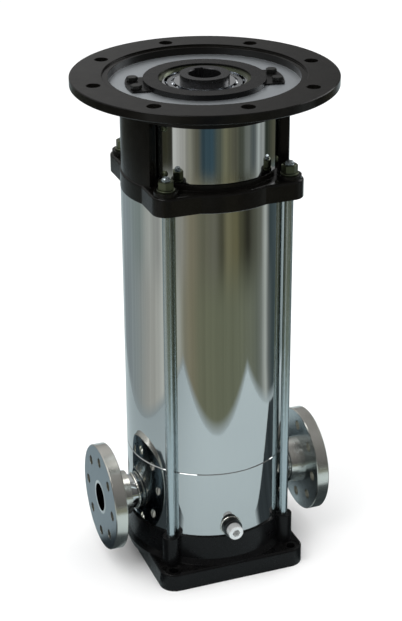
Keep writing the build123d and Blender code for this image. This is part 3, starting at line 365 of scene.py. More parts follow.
mask = math(group, "MULTIPLY", mask, math(group, "GREATER_THAN", facing.outputs["Z"], 0.9))
link(group, mask, end.inputs["Mask"])
level_face = group

group, start, end = new_group(
    "round_boss",
    [
        ("Vector", VECTOR, None),
        ("Centre", VECTOR, (0, 0, 0)),
        ("Axis", VECTOR, (0, 0, 1)),
        ("Radius", FLOAT, 0.01),
    ],
    [("Mask", FLOAT)],
)
arm = vector_math(group, "SUBTRACT", start.outputs["Vector"], start.outputs["Centre"])
cross = vector_math(group, "CROSS_PRODUCT", arm.outputs[0], start.outputs["Axis"])
reach = vector_math(group, "LENGTH", cross.outputs[0]).outputs["Value"]
above = vector_math(group, "DOT_PRODUCT", arm.outputs[0], start.outputs["Axis"]).outputs["Value"]
mask = math(group, "LESS_THAN", reach, start.outputs["Radius"])
mask = math(group, "MULTIPLY", mask, math(group, "GREATER_THAN", above, 0.0))
link(group, mask, end.inputs["Mask"])
round_boss = group

group, start, end = new_group(
    "side_faces", [("Vector", VECTOR, None), ("Axis", VECTOR, (1, 0, 0))], [("Mask", FLOAT)]
)
normal = node(group, "ShaderNodeNewGeometry").outputs["Normal"]
facing = vector_math(group, "DOT_PRODUCT", normal, start.outputs["Axis"]).outputs["Value"]
link(group, math(group, "GREATER_THAN", math(group, "ABSOLUTE", facing), 0.8), end.inputs["Mask"])
side_faces = group
print("patch groups ready")

# %% [markdown]
# Every finish is put together the same way: two near colours mixed by a mask, a gloss that the
# same mask moves a little, and a bump. Black enamel also gets a clear coat and a bevelled normal,
# which rounds the light on its edges as paint does.


# %% Make a finish
DUST = (0.16, 0.15, 0.13, 1.0)
MASK_LOW, MASK_HIGH = 0.3, 0.7  # where most of the noise of a mask lies


def make_finish(
    name,
    light,
    dark,
    group,
    metallic=0.0,
    gloss=(0.2, 0.3),
    bump=0.1,
    depth=0.0002,
    round_normal=False,
    edge=0.0,
    dust=0.0,
    axis=None,
    centre=None,
    patch=None,
    **uniform,
):
    material = bpy.data.materials.new(name)
    material.use_nodes = True
    tree = material.node_tree
    shader = tree.nodes["Principled BSDF"]
    place = node(tree, "ShaderNodeTexCoord").outputs["Object"]
    effect = node(tree, "ShaderNodeGroup", node_tree=group)
    link(tree, place, effect.inputs["Vector"])
    if axis:
        effect.inputs["Axis"].default_value = axis
    if centre:
        effect.inputs["Centre"].default_value = centre
    blend = node(tree, "ShaderNodeMix", data_type="RGBA")
    blend.inputs[6].default_value = (*dark, 1.0)
    blend.inputs[7].default_value = (*light, 1.0)
    link(tree, effect.outputs["Mask"], blend.inputs["Factor"])
    colour = blend.outputs[2]
    if dust:
        dusty = node(tree, "ShaderNodeGroup", node_tree=settled_dust)
        link(tree, place, dusty.inputs[0])
        over = node(tree, "ShaderNodeMix", data_type="RGBA")
        link(tree, math(tree, "MULTIPLY", dusty.outputs[0], dust), over.inputs["Factor"])
        link(tree, colour, over.inputs[6])
        over.inputs[7].default_value = DUST
        colour = over.outputs[2]
    spread = node(tree, "ShaderNodeMapRange")
    link(tree, effect.outputs["Mask"], spread.inputs["Value"])
    spread.inputs["From Min"].default_value = MASK_LOW
    spread.inputs["From Max"].default_value = MASK_HIGH
    spread.inputs["To Min"].default_value = gloss[0]
    spread.inputs["To Max"].default_value = gloss[1]
    rough = spread.outputs[0]
    if patch:
        where = node(tree, "ShaderNodeGroup", node_tree=patch["group"])
        link(tree, place, where.inputs["Vector"])
        for label, value in patch["where"].items():
            where.inputs[label].default_value = value
        over = node(tree, "ShaderNodeMix", data_type="RGBA")
        link(tree, where.outputs[0], over.inputs["Factor"])
        link(tree, colour, over.inputs[6])
        over.inputs[7].default_value = (*patch["colour"], 1.0)
        colour = over.outputs[2]
        second = node(tree, "ShaderNodeMix", data_type="FLOAT")
        link(tree, where.outputs[0], second.inputs["Factor"])
        link(tree, rough, second.inputs[2])
        second.inputs[3].default_value = patch["roughness"]
        rough = second.outputs[0]
        if not metallic:
            link(tree, where.outputs[0], shader.inputs["Metallic"])
    link(tree, colour, shader.inputs["Base Color"])
    link(tree, rough, shader.inputs["Roughness"])
    relief = node(tree, "ShaderNodeBump")
    relief.inputs["Strength"].default_value = bump
    relief.inputs["Distance"].default_value = depth
    link(tree, effect.outputs["Height"], relief.inputs["Height"])
    if round_normal:
        straight = node(tree, "ShaderNodeGroup", node_tree=true_round)
        link(tree, place, straight.inputs[0])
        link(tree, straight.outputs[0], relief.inputs["Normal"])
    elif edge:
        soft = node(tree, "ShaderNodeBevel", samples=4)
        soft.inputs["Radius"].default_value = edge
        link(tree, soft.outputs[0], relief.inputs["Normal"])
    link(tree, relief.outputs[0], shader.inputs["Normal"])
    shader.inputs["Metallic"].default_value = metallic
    for label, value in uniform.items():
        shader.inputs[label.replace("_", " ")].default_value = value
    return material


ENAMEL = dict(
    light=(0.0034, 0.0034, 0.0036), dark=(0.001, 0.001, 0.0012), group=casting_skin,
    gloss=(0.2, 0.36), bump=0.3, depth=0.0004, edge=0.0012, dust=0.03,
    Specular_IOR_Level=0.19, Coat_Weight=0.06, Coat_Roughness=0.12,
)
POLISHED = dict(
    light=(0.64, 0.655, 0.65), dark=(0.57, 0.585, 0.585), group=polished_sheet,
    metallic=1.0, gloss=(0.03, 0.065), bump=0.02, depth=0.0004, round_normal=True,
)
TURNED_FLANGE = dict(
    light=(0.9, 0.9, 0.85), dark=(0.62, 0.6, 0.54), group=turned_rings,
    metallic=1.0, gloss=(0.16, 0.28), bump=0.1, depth=0.0001, edge=0.0006,
    axis=(1, 0, 0), centre=(0, 0, port_height),
)
FINISHES = {
    "black_casting": make_finish("black_enamel", **ENAMEL),
    "polished_steel": make_finish("polished_stainless", **POLISHED),
    "flange_steel": make_finish("turned_flange_steel", **TURNED_FLANGE),
    "zinc_steel": make_finish(
        "olive_zinc_plate", (0.2, 0.22, 0.15), (0.1, 0.11, 0.07), casting_skin,
        metallic=1.0, gloss=(0.28, 0.45), bump=0.08,
    ),
    "stainless_steel": make_finish(
        "satin_stainless", (0.6, 0.6, 0.58), (0.46, 0.46, 0.45), turned_rings,
        metallic=1.0, gloss=(0.2, 0.34), bump=0.1, depth=0.0001,
    ),
    "cast_iron": make_finish(
        "machined_iron", (0.16, 0.16, 0.155), (0.07, 0.07, 0.07), turned_rings,
        metallic=0.85, gloss=(0.34, 0.5), bump=0.15, depth=0.0001,
    ),
    "hub_steel": make_finish(
        "blackened_steel", (0.075, 0.075, 0.078), (0.03, 0.03, 0.032), turned_rings,
        metallic=0.9, gloss=(0.2, 0.34), bump=0.1, depth=0.0001, edge=0.0005,
    ),
    "bearing_steel": make_finish(
        "ground_bearing_steel", (0.8, 0.82, 0.84), (0.66, 0.68, 0.7), turned_rings,
        metallic=1.0, gloss=(0.08, 0.16), bump=0.04, depth=0.0001,
    ),
    "cage_steel": make_finish(
        "pressed_cage_steel", (0.56, 0.58, 0.6), (0.4, 0.41, 0.43), turned_rings,
        metallic=1.0, gloss=(0.2, 0.32), bump=0.08, depth=0.0001,
    ),
    "rubber_seal": make_finish(
        "black_rubber", (0.03, 0.03, 0.03), (0.014, 0.014, 0.014), casting_skin,
        gloss=(0.55, 0.75), bump=0.1,
    ),
    "hard_bearing": make_finish(
        "lapped_carbide", (0.14, 0.14, 0.15), (0.07, 0.07, 0.08), turned_rings,
        metallic=0.3, gloss=(0.12, 0.22), bump=0.05, depth=0.0001,
    ),
    "ring_polymer": make_finish(
        "pale_polymer", (0.62, 0.57, 0.45), (0.48, 0.43, 0.33), casting_skin,
        gloss=(0.4, 0.55), bump=0.06,
    ),
}


def flange_with_painted_face_light(name, painted_face_tone):
    """Turned rim and hub, with faces in a darker painted tone, painted for the light each face
    reflects.
    """
    patch = {
        "group": side_faces,
        "where": {"Axis": (1, 0, 0)},
        "colour": painted_face_tone,
        "roughness": 0.24,
    }
    return make_finish(name, patch=patch, **TURNED_FLANGE)


drain_low, drain_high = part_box("drain_plug")
drain_root = -110.5 * mm
drain_centre = ((drain_low.x + drain_high.x) / 2, drain_root, (drain_low.z + drain_high.z) / 2)
drain_boss_radius = 13.9 * mm
recess_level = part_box("motor_stool")[1].z - 12 * mm
spigot_radius = 125 * mm
SPECIAL = {
    "motor_stool": make_finish(
        "enamel_with_painted_sheen_and_machined_recess",
        patch={
            "group": level_face,
            "where": {"Level": recess_level, "Inner": 0.0, "Outer": spigot_radius - 0.1 * mm},
            "colour": (0.66, 0.7, 0.73),
            "roughness": 0.42,
        },
        **{
            **ENAMEL,
            # painted sheen: the light colour is warm brown and brighter than the plain enamel, for
            # the warm reflection on the flange top
            "light": (0.006, 0.0054, 0.0042),
            "gloss": (0.13, 0.26),
            "Specular_IOR_Level": 0.17,
        },
    ),
    "port_casing": make_finish(
        "polished_with_painted_dark_boss",
        patch={
            "group": round_boss,
            "where": {
                "Centre": drain_centre,
                "Axis": (0, -1, 0),
                "Radius": drain_boss_radius + 0.3 * mm,
            },
            # painted shade: the boss is painted near black for its shadow and its reflection in the
            # casing
            "colour": (0.06, 0.065, 0.065),
            "roughness": 0.3,
        },
        **POLISHED,
    ),
    # painted light: the same turned steel, with the inlet faces painted in shade and the outlet
    # faces painted lighter
    "inlet_flange": flange_with_painted_face_light("inlet_flange_shaded_faces", (0.19, 0.235, 0.265)),
    "outlet_flange": flange_with_painted_face_light("outlet_flange_lit_faces", (0.42, 0.47, 0.48)),
    "tie_rods": make_finish(
        "drawn_bar", (0.56, 0.63, 0.65), (0.42, 0.48, 0.5), polished_sheet,
        metallic=1.0, gloss=(0.2, 0.3), bump=0.04, depth=0.0002,
    ),
    "housing_bolts": make_finish(
        "black_oxide", (0.05, 0.052, 0.048), (0.02, 0.02, 0.02), casting_skin,
        metallic=0.8, gloss=(0.25, 0.4), bump=0.1,
    ),
    "drain_plug": make_finish(
        "nickel_plate", (0.86, 0.87, 0.86), (0.7, 0.72, 0.72), turned_rings,
        metallic=0.6, gloss=(0.2, 0.3), bump=0.05, depth=0.0001,
        axis=(0, 1, 0), centre=drain_centre,
    ),
}
print("finishes", len(FINISHES))

# %% [markdown]
# Each CAD node takes the finish of its slot in the record, unless it has a special finish of its
# own.

# %% Dress the CAD nodes
slot_of = {part["node"]: part["material_slot"] for part in frame["record"]["subparts"]}
for name, obj in nodes.items():
    slot = slot_of[name]
    finish = SPECIAL.get(name) or FINISHES[slot]
    obj.data.materials.clear()
    obj.data.materials.append(finish)
print("dressed", len(nodes))

# %% [markdown]
# The outer sleeve is one drawn tube, polished like a mirror. It is turned here with many more
# steps than the CAD mesh has, and its rims get the small round that a deburred tube has.

# %% Outer sleeve
low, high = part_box("outer_sleeve")
sleeve_radius = high.x
sleeve_wall = 2.5 * mm
rim_round = 0.9 * mm
sleeve_steps = 320
bm = bmesh.new()
tube = [
    (sleeve_radius - sleeve_wall, low.z),
    (sleeve_radius, low.z),
    (sleeve_radius, high.z),
    (sleeve_radius - sleeve_wall, high.z),
]
add_lathe(bm, rounded(tube, rim_round), sleeve_steps)
sleeve = finish_piece(bm, "sleeve_tube", "pump_body", "outer_sleeve", corner=60)
sleeve.data.materials.append(FINISHES["polished_steel"])

# %% [markdown]
# A tie rod is a bright bar with a rolled thread at its upper end. The thread is a stack of small
# ridges, which looks like a helix at this size and needs far fewer faces.

# %% Tie rods
low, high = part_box("tie_rods")
rod_radius = 6.0 * mm
rod_centre = high.x - rod_radius
thread_pitch = 1.75 * mm
thread_depth = 0.9 * mm
thread_length = 19 * mm
thread_start = high.z - thread_length
crest_cut = 0.12 * mm
rod_chamfer = 0.8 * mm
rod_places = [(sx * rod_centre, sy * rod_centre) for sx in (-1, 1) for sy in (-1, 1)]
outline = [(0, low.z), (rod_radius - rod_chamfer, low.z), (rod_radius, low.z + rod_chamfer)]
outline.append((rod_radius, thread_start))
height = thread_start + thread_pitch
while height < high.z - thread_pitch:
    outline.append((rod_radius - thread_depth, height - thread_pitch / 2))
    outline.append((rod_radius - crest_cut, height - thread_pitch / 12))
    outline.append((rod_radius - crest_cut, height + thread_pitch / 12))
    height += thread_pitch
outline.append((rod_radius - thread_depth, high.z - rod_chamfer))
outline.append((rod_radius - 2 * rod_chamfer, high.z))
outline.append((0, high.z))
bm = bmesh.new()
for x, y in rod_places:
    add_lathe(bm, outline, 40, (x, y, 0))
rods = finish_piece(bm, "tie_rod_bars", "pump_body", "tie_rods", corner=35)
print("threads end at", round(high.z, 4))

# %% [markdown]
# The nuts have the curved chamfer that a cone cuts across six flats. Each stands on a plain
# washer with a rolled edge.

# %% Nuts and washers
nut_across = 19 * mm
washer_radius = 12 * mm
washer_bore = rod_radius + 0.5 * mm
low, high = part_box("tie_rod_nuts")
bm = bmesh.new()
for index, (x, y) in enumerate(rod_places):
    turn = radians(17 * index + 8)  # each nut stops where it happens to be tight
    add_hexagon(bm, nut_across, low.z, high.z, rod_radius, (x, y), turn)
nuts = finish_piece(bm, "rod_nuts", "pump_body", "tie_rod_nuts", corner=28)
low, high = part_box("tie_rod_washers")
bm = bmesh.new()
flat_ring = [
    (washer_bore, low.z),
    (washer_radius, low.z),
    (washer_radius, high.z),
    (washer_bore, high.z),
]
for x, y in rod_places:
    add_lathe(bm, rounded(flat_ring, 0.6 * mm, 3), 48, (x, y, 0))
washers = finish_piece(bm, "rod_washers", "pump_body", "tie_rod_washers")

# %% [markdown]
# The housing bolts are hexagon heads on a round washer face.

# %% Housing bolts
bolt_across = 13 * mm
bolt_head_height = 5.3 * mm
bolt_radius = 4 * mm
bolt_chamfer = 0.4 * mm
face_radius = 6.1 * mm
face_height = 0.5 * mm
lug_turn = radians(-10)
lug_reach = 92 * mm
lug_pitch = 36 * mm
low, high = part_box("housing_bolts")
head_low = high.z - bolt_head_height
face_top = head_low + face_height
bm = bmesh.new()
for side in (-1, 1):
    for across in (-0.5, 0.5):
        along = Vector((side * lug_reach, across * lug_pitch, 0))
        spot = Matrix.Rotation(lug_turn, 3, "Z") @ along
        head_bottom = head_low + bolt_chamfer
        add_hexagon(bm, bolt_across, head_bottom, high.z, 0.0, spot, radians(20 * side))
        face = [(0, head_low), (face_radius, head_low), (face_radius, face_top), (0, face_top)]
        add_lathe(bm, face, 32, (spot.x, spot.y, 0))
        shank = [
            (0, low.z),
            (bolt_radius - bolt_chamfer, low.z),
            (bolt_radius, low.z + bolt_chamfer),
            (bolt_radius, head_low),
            (0, head_low),
        ]
        add_lathe(bm, shank, 24, (spot.x, spot.y, 0))
bolts = finish_piece(
    bm, "housing_bolt_heads", "pump_body", "housing_bolts", corner=28
)

# %% [markdown]
# Welds join each pipe to its flange and to the casing, and the drain boss to the casing. A weld is
# a low bead with the ripples of the pool. Its path is the curve on which the two surfaces meet.


# %% Weld beads
def add_bead(bm, path, size, ripples, sides=8):
    """Sweeps a rippled circle along a closed path of (point, outward, along) vectors."""
    rings = []
    for step, (point, outward, along) in enumerate(path):
        wave = 1.0 + 0.22 * abs(sin(pi * ripples * step / len(path)))
        ring = []
        for side in range(sides):
            around = tau * side / sides
            offset = outward * (size * wave * cos(around)) + along * (size * wave * sin(around))
            ring.append(bm.verts.new(point + offset))
        rings.append(ring)
    for near, far in zip(rings, rings[1:] + rings[:1]):
        for side in range(sides):
            after = (side + 1) % sides
            bm.faces.new((near[side], far[side], far[after], near[after]))


def pipe_path(sign, radius, place, steps=200):
    """Round a port pipe: at a fixed distance, or on the casing where place is None."""
    path = []
    for step in range(steps):
        angle = tau * step / steps
        outward = Vector((0, cos(angle), sin(angle)))
        x = place or sqrt(casing_radius**2 - (radius * cos(angle)) ** 2)
        axis = Vector((sign, 0, 0))
        point = axis * x + Vector((0, 0, port_height)) + outward * radius
        path.append((point, outward, axis))
    return path


casing_radius = sleeve_radius
pipe_radius = 24.15 * mm
hub_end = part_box("outlet_flange")[0].x
bm = bmesh.new()
for sign in (-1, 1):
    add_bead(bm, pipe_path(sign, pipe_radius + 0.6 * mm, hub_end), 1.5 * mm, 44)
    add_bead(bm, pipe_path(sign, pipe_radius + 0.5 * mm, None), 1.7 * mm, 44)
boss_path = []
for step in range(120):
    angle = tau * step / 120
    outward = Vector((cos(angle), 0, sin(angle)))
    x = drain_centre[0] + drain_boss_radius * cos(angle)
    z = drain_centre[2] + drain_boss_radius * sin(angle)
    point = Vector((x, -sqrt(casing_radius**2 - x * x), z))
    boss_path.append((point, outward, Vector((0, -1, 0))))
add_bead(bm, boss_path, 1.1 * mm, 26)
beads = finish_piece(bm, "weld_beads", "pump_body")

# %% [markdown]
# The guard screws have low domed heads with a hexagon socket.

# %% Guard screws
head_radius = 4.5 * mm
socket_radius = 1.9 * mm
socket_floor = 1.4 * mm
screw_radius = 2.5 * mm
screw_length = 9 * mm
screw_seat_radius = 96 * mm
screw_angle = 53  # to both sides of the middle of a guard
low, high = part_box("guard_screws")
screw_heights = (low.z + head_radius, high.z - head_radius)
dome = [
    (0, 0),
    (head_radius, 0),
    (head_radius, 0.9 * mm),
    (4.0 * mm, 1.9 * mm),
    (3.0 * mm, 2.6 * mm),
    (socket_radius, 2.9 * mm),
    (socket_radius, socket_floor),
    (0, socket_floor),
]
shank = [(0, -screw_length), (screw_radius, -screw_length), (screw_radius, 0), (0, 0)]
bm = bmesh.new()
for middle in (-90, 90):
    for offset in (-screw_angle, screw_angle):
        for height in screw_heights:
            part = bmesh.new()
            add_lathe(part, dome, 24)
            add_lathe(part, shank, 16)
            aim = radians(middle + offset)
            turn = Matrix.Rotation(aim, 4, "Z") @ Matrix.Rotation(pi / 2, 4, "Y")
            seat = (screw_seat_radius * cos(aim), screw_seat_radius * sin(aim), height)
            move = Matrix.Translation(seat)
            bmesh.ops.transform(part, matrix=move @ turn, verts=part.verts)
            scrap = bpy.data.meshes.new("scrap")
            part.to_mesh(scrap)
            part.free()
            bm.from_mesh(scrap)
            bpy.data.meshes.remove(scrap)
screws = finish_piece(bm, "guard_screw_heads", "pump_body", "guard_screws", corner=30)

# %% Finishes of the made pieces
for piece, finish in (
    (rods, SPECIAL["tie_rods"]),
    (nuts, FINISHES["zinc_steel"]),
    (washers, FINISHES["zinc_steel"]),
    (bolts, SPECIAL["housing_bolts"]),
    (beads, FINISHES["flange_steel"]),
    (screws, FINISHES["zinc_steel"]),
):
    piece.data.materials.append(finish)
print("made pieces dressed")

# %% [markdown]
# The studio is a pale floor under soft, even light. The camera sees plain white beyond it, and
# the floor keeps the shadow of the pump. To a mirror the same floor is a calmer blue grey.

# %% Floor and world
camera_place = Vector((-0.7283, -1.9302, 1.3305))
camera_turn = atan2(camera_place.y, camera_place.x)


def floor_tone(tree, across, dim, bright):
    """The floor as a mirror sees it: dimmer on the left of the pump than on its right."""
    share = node(tree, "ShaderNodeMapRange", interpolation_type="SMOOTHSTEP")
    link(tree, across, share.inputs["Value"])
    share.inputs["From Min"].default_value = -0.65
    share.inputs["From Max"].default_value = 0.05
    tone = node(tree, "ShaderNodeMix", data_type="RGBA")
    link(tree, share.outputs[0], tone.inputs["Factor"])
    tone.inputs[6].default_value = (*dim, 1.0)
    tone.inputs[7].default_value = (*bright, 1.0)
    return tone.outputs[2]


floor_reach = 9.0
floor_mesh = bpy.data.meshes.new("studio_floor")
bm = bmesh.new()
bmesh.ops.create_grid(bm, x_segments=1, y_segments=1, size=floor_reach)
bm.to_mesh(floor_mesh)
bm.free()
floor = bpy.data.objects.new("studio_floor", floor_mesh)
scene.collection.objects.link(floor)
material = bpy.data.materials.new("pale_floor")
material.use_nodes = True
tree = material.node_tree
shader = tree.nodes["Principled BSDF"]
shader.inputs["Roughness"].default_value = 0.9
shader.inputs["Specular IOR Level"].default_value = 0.0
path = node(tree, "ShaderNodeLightPath")
swap = node(tree, "ShaderNodeMix", data_type="RGBA")
link(tree, path.outputs["Is Glossy Ray"], swap.inputs["Factor"])
swap.inputs[6].default_value = (0.9, 0.9, 0.9, 1.0)
place = node(tree, "ShaderNodeTexCoord").outputs["Object"]
rightward = (-sin(camera_turn), cos(camera_turn), 0.0)
across = vector_math(tree, "DOT_PRODUCT", place, rightward).outputs["Value"]
link(tree, floor_tone(tree, across, (0.29, 0.34, 0.355), (0.45, 0.52, 0.54)), swap.inputs[7])
link(tree, swap.outputs[2], shader.inputs["Base Color"])
floor_mesh.materials.append(material)

world = bpy.data.worlds.new("studio")
scene.world = world
world.use_nodes = True
tree = world.node_tree
backdrop = tree.nodes["Background"]
path = node(tree, "ShaderNodeLightPath")
direction = node(tree, "ShaderNodeTexCoord")
split = node(tree, "ShaderNodeSeparateXYZ")
link(tree, direction.outputs["Generated"], split.inputs[0])
rise = node(tree, "ShaderNodeMapRange")
link(tree, split.outputs["Z"], rise.inputs["Value"])
rise.inputs["From Min"].default_value = 0.0
rise.inputs["From Max"].default_value = 0.9
rise.inputs["To Min"].default_value = 0.3
rise.inputs["To Max"].default_value = 0.95
bearing = math(tree, "ARCTAN2", split.outputs["Y"], split.outputs["X"])
shade = node(tree, "ShaderNodeMapRange", interpolation_type="SMOOTHSTEP")
link(tree, bearing, shade.inputs["Value"])
shade.inputs["From Min"].default_value = radians(58)
shade.inputs["From Max"].default_value = radians(80)
shade.inputs["To Min"].default_value = 0.25
shade.inputs["To Max"].default_value = 0.85
swap = node(tree, "ShaderNodeMix", data_type="FLOAT")
link(tree, path.outputs["Is Glossy Ray"], swap.inputs["Factor"])
swap.inputs[2].default_value = 1.12
link(tree, math(tree, "MULTIPLY", rise.outputs[0], shade.outputs[0]), swap.inputs[3])
level = math(tree, "MAXIMUM", swap.outputs[0], path.outputs["Is Camera Ray"])
link(tree, level, backdrop.inputs["Strength"])
backdrop.inputs["Color"].default_value = (1.0, 1.0, 1.0, 1.0)
print("floor and world ready")

# %% [markdown]
# A mirror needs something to reflect. Low cards lie just above the floor, hidden from the camera,
# and only reflections see them: a dark, warm area with a scalloped edge in front of the pump,
# which gives the sleeve its dark column, streaks further out for the guard, and black cards close
# to the base, which keep the sides of the casing dark.

# %% Reflection cards
wobble_scale = 3.0
streaks_per_radian = 9.0


def card_material(name, stops, outer_stops, near, far, warp=0.05, contrast=0.35):
    """Emission by direction, with a second set of colours further out."""
    material = bpy.data.materials.new(name)
    material.use_nodes = True
    tree = material.node_tree
    tree.nodes.remove(tree.nodes["Principled BSDF"])
    out = tree.nodes["Material Output"]
    place = node(tree, "ShaderNodeTexCoord").outputs["Object"]
    wobble = node(tree, "ShaderNodeTexNoise")
    wobble.inputs["Scale"].default_value = wobble_scale
    link(tree, place, wobble.inputs["Vector"])
    centred = vector_math(tree, "SUBTRACT", wobble.outputs["Color"], (0.5, 0.5, 0.5))
    small = vector_math(tree, "MULTIPLY", centred.outputs[0], (warp, warp, 0.0))
    moved = vector_math(tree, "ADD", place, None)
    link(tree, small.outputs[0], moved.inputs[1])
    split = node(tree, "ShaderNodeSeparateXYZ")
    link(tree, moved.outputs[0], split.inputs[0])
    angle = math(tree, "ARCTAN2", split.outputs["Y"], split.outputs["X"])
    share = math(tree, "ADD", math(tree, "DIVIDE", angle, tau), 0.5)
    ramps = []
    for colours in (stops, outer_stops):
        ramp = node(tree, "ShaderNodeValToRGB")
        ramp.color_ramp.interpolation = "B_SPLINE" if colours is stops else "EASE"
        band = ramp.color_ramp.elements
        while len(band) > 1:
            band.remove(band[0])
        for index, (degrees, colour) in enumerate(colours):
            element = band[0] if index == 0 else band.new(degrees / 360 + 0.5)
            element.position = degrees / 360 + 0.5
            element.color = (*colour, 1.0)
        link(tree, share, ramp.inputs[0])
        ramps.append(ramp.outputs[0])
    distance = vector_math(tree, "LENGTH", moved.outputs[0]).outputs["Value"]
    reach = node(tree, "ShaderNodeMapRange", interpolation_type="SMOOTHSTEP")
    link(tree, distance, reach.inputs["Value"])
    reach.inputs["From Min"].default_value = near
    reach.inputs["From Max"].default_value = far
    mix = node(tree, "ShaderNodeMix", data_type="RGBA")
    link(tree, reach.outputs[0], mix.inputs["Factor"])
    link(tree, ramps[0], mix.inputs[6])
    link(tree, ramps[1], mix.inputs[7])
    streak = node(tree, "ShaderNodeTexNoise", noise_dimensions="1D")
    link(tree, math(tree, "MULTIPLY", angle, streaks_per_radian), streak.inputs["W"])
    streak.inputs["Scale"].default_value = 1.0
    streak.inputs["Detail"].default_value = 3.0
    swing = math(tree, "MULTIPLY", streak.outputs["Fac"], 2 * contrast)
    lift = math(tree, "ADD", swing, 1 - contrast)
    streaked = vector_math(tree, "SCALE", mix.outputs[2])
    link(tree, lift, streaked.inputs["Scale"])
    edge = node(tree, "ShaderNodeAttribute", attribute_name="depth")
    fade = node(tree, "ShaderNodeMix", data_type="RGBA")
    link(tree, edge.outputs["Fac"], fade.inputs["Factor"])
    tone = floor_tone(tree, split.outputs["Y"], (0.32, 0.375, 0.39), (0.5, 0.58, 0.6))
    link(tree, tone, fade.inputs[6])
    link(tree, streaked.outputs[0], fade.inputs[7])
    glow = node(tree, "ShaderNodeEmission")
    link(tree, fade.outputs[2], glow.inputs["Color"])
    link(tree, glow.outputs[0], out.inputs["Surface"])
    return material


def make_card(
    name, inner, outer, start, stop, height, material, steps=160, soft=0.05, ends=0.001
):
    """A sector of the floor between two edges, each a function of direction in degrees.

    It fades in over soft metres behind its inner edge and over ends degrees from both sides.
    """
    bm = bmesh.new()
    depth = bm.verts.layers.float.new("depth")
    rows = []
    for step in range(steps + 1):
        degrees = start + (stop - start) * step / steps
        angle = radians(degrees)
        edge, far_edge = inner(degrees), outer(degrees)
        full = min(1.0, (degrees - start) / ends, (stop - degrees) / ends)
        row = []
        for reach, value in ((edge - soft / 2, 0.0), (edge + soft / 2, full), (far_edge, full)):
            vertex = bm.verts.new((reach * cos(angle), reach * sin(angle), 0.0))
            vertex[depth] = value
            row.append(vertex)
        rows.append(row)
    for near, far in zip(rows, rows[1:]):
        for k in range(2):
            bm.faces.new((near[k], far[k], far[k + 1], near[k + 1]))
    mesh = bpy.data.meshes.new(name)
    bm.to_mesh(mesh)
    bm.free()
    card = bpy.data.objects.new(name, mesh)
    scene.collection.objects.link(card)
    card.location = (0, 0, height)
    card.rotation_euler = (0, 0, camera_turn)
    card.visible_camera = False
    card.visible_diffuse = False
    card.visible_shadow = False
    card.visible_transmission = False
    mesh.materials.append(material)
    print(name, "from", start, "to", stop)
    return card


def even(reach):
    """An edge at the same reach in every direction."""
    return lambda degrees: reach


def tongue(degrees, middle, near, half_width):
    """Reach of one tongue: nearest in the middle, further out to both sides."""
    return near + 0.13 * (abs(degrees - middle) / half_width) ** 2


def scallop(degrees):
    """The near edge of the dark area: three tongues with bright points between them."""
    return min(
        tongue(degrees, 15, 0.54, 32.5),
        tongue(degrees, 95, 0.58, 34),
        tongue(degrees, -96, 0.53, 47),
        1.3,
    )


OLIVE, BROWN = (0.185, 0.2, 0.135), (0.28, 0.25, 0.17)
inner_stops = [
    (-135, (0.25, 0.29, 0.31)), (-104, (0.33, 0.38, 0.38)), (-84, (0.42, 0.42, 0.39)),
    (-66, (0.5, 0.51, 0.47)), (-56, (0.66, 0.68, 0.64)), (-44, (0.2, 0.22, 0.2)),
    (-36, (0.6, 0.62, 0.56)), (-30, (0.26, 0.26, 0.2)), (-20, BROWN), (-8, OLIVE), (45, OLIVE),
    (66, (0.2, 0.22, 0.17)), (78, (0.12, 0.14, 0.12)), (87, (0.62, 0.66, 0.62)),
    (93, (0.1, 0.12, 0.12)), (104, (0.04, 0.06, 0.065)), (118, (0.12, 0.17, 0.18)),
    (135, (0.3, 0.36, 0.37)),
]
outer_stops = [
    (-135, (0.3, 0.35, 0.37)), (-100, (0.27, 0.32, 0.31)), (-80, (0.47, 0.49, 0.46)),
    (-66, (0.38, 0.39, 0.37)), (-56, (0.6, 0.62, 0.58)), (-44, (0.25, 0.28, 0.27)),
    (-35, (0.36, 0.36, 0.32)), (-18, (0.26, 0.24, 0.17)), (-4, (0.17, 0.17, 0.12)),
    (12, (0.17, 0.17, 0.13)), (21, (0.09, 0.09, 0.06)), (30, (0.21, 0.2, 0.12)),
    (40, (0.17, 0.16, 0.09)), (49, (0.08, 0.08, 0.05)), (58, (0.035, 0.035, 0.025)),
    (67, (0.1, 0.105, 0.08)), (77, (0.16, 0.17, 0.14)), (87, (0.48, 0.51, 0.48)),
    (96, (0.05, 0.07, 0.075)), (108, (0.08, 0.11, 0.12)), (135, (0.15, 0.2, 0.2)),
]
room_reach = 1.62
room = card_material("room_reflection", inner_stops, outer_stops, 0.95, 1.3, contrast=0.2)
make_card("room_card", scallop, even(room_reach), -154, 134, 2 * mm, room, ends=12)
streak_stops = [
    (-150, (0.1, 0.11, 0.09)), (-62, (0.04, 0.04, 0.025)), (-52, (0.04, 0.04, 0.03)),
    (-47, (0.66, 0.67, 0.64)), (-34, (0.48, 0.48, 0.45)), (-22, (0.28, 0.28, 0.23)),
    (-12, (0.13, 0.13, 0.1)), (-2, (0.045, 0.08, 0.1)), (10, (0.045, 0.085, 0.11)),
    (20, (0.1, 0.12, 0.1)), (31, (0.2, 0.2, 0.13)), (44, (0.11, 0.11, 0.08)),
    (56, (0.08, 0.09, 0.07)), (66, (0.2, 0.22, 0.2)), (76, (0.1, 0.12, 0.12)),
    (87, (0.42, 0.46, 0.45)), (95, (0.4, 0.43, 0.42)), (103, (0.04, 0.05, 0.04)),
    (127, (0.1, 0.1, 0.07)), (150, (0.25, 0.28, 0.28)),
]
streaks = card_material("streak_reflection", outer_stops, streak_stops, 1.6, 1.74, contrast=0.45)
make_card(
    "streak_card", even(room_reach), even(3.4), -160, 160, 3 * mm, streaks, soft=0.0, ends=20
)

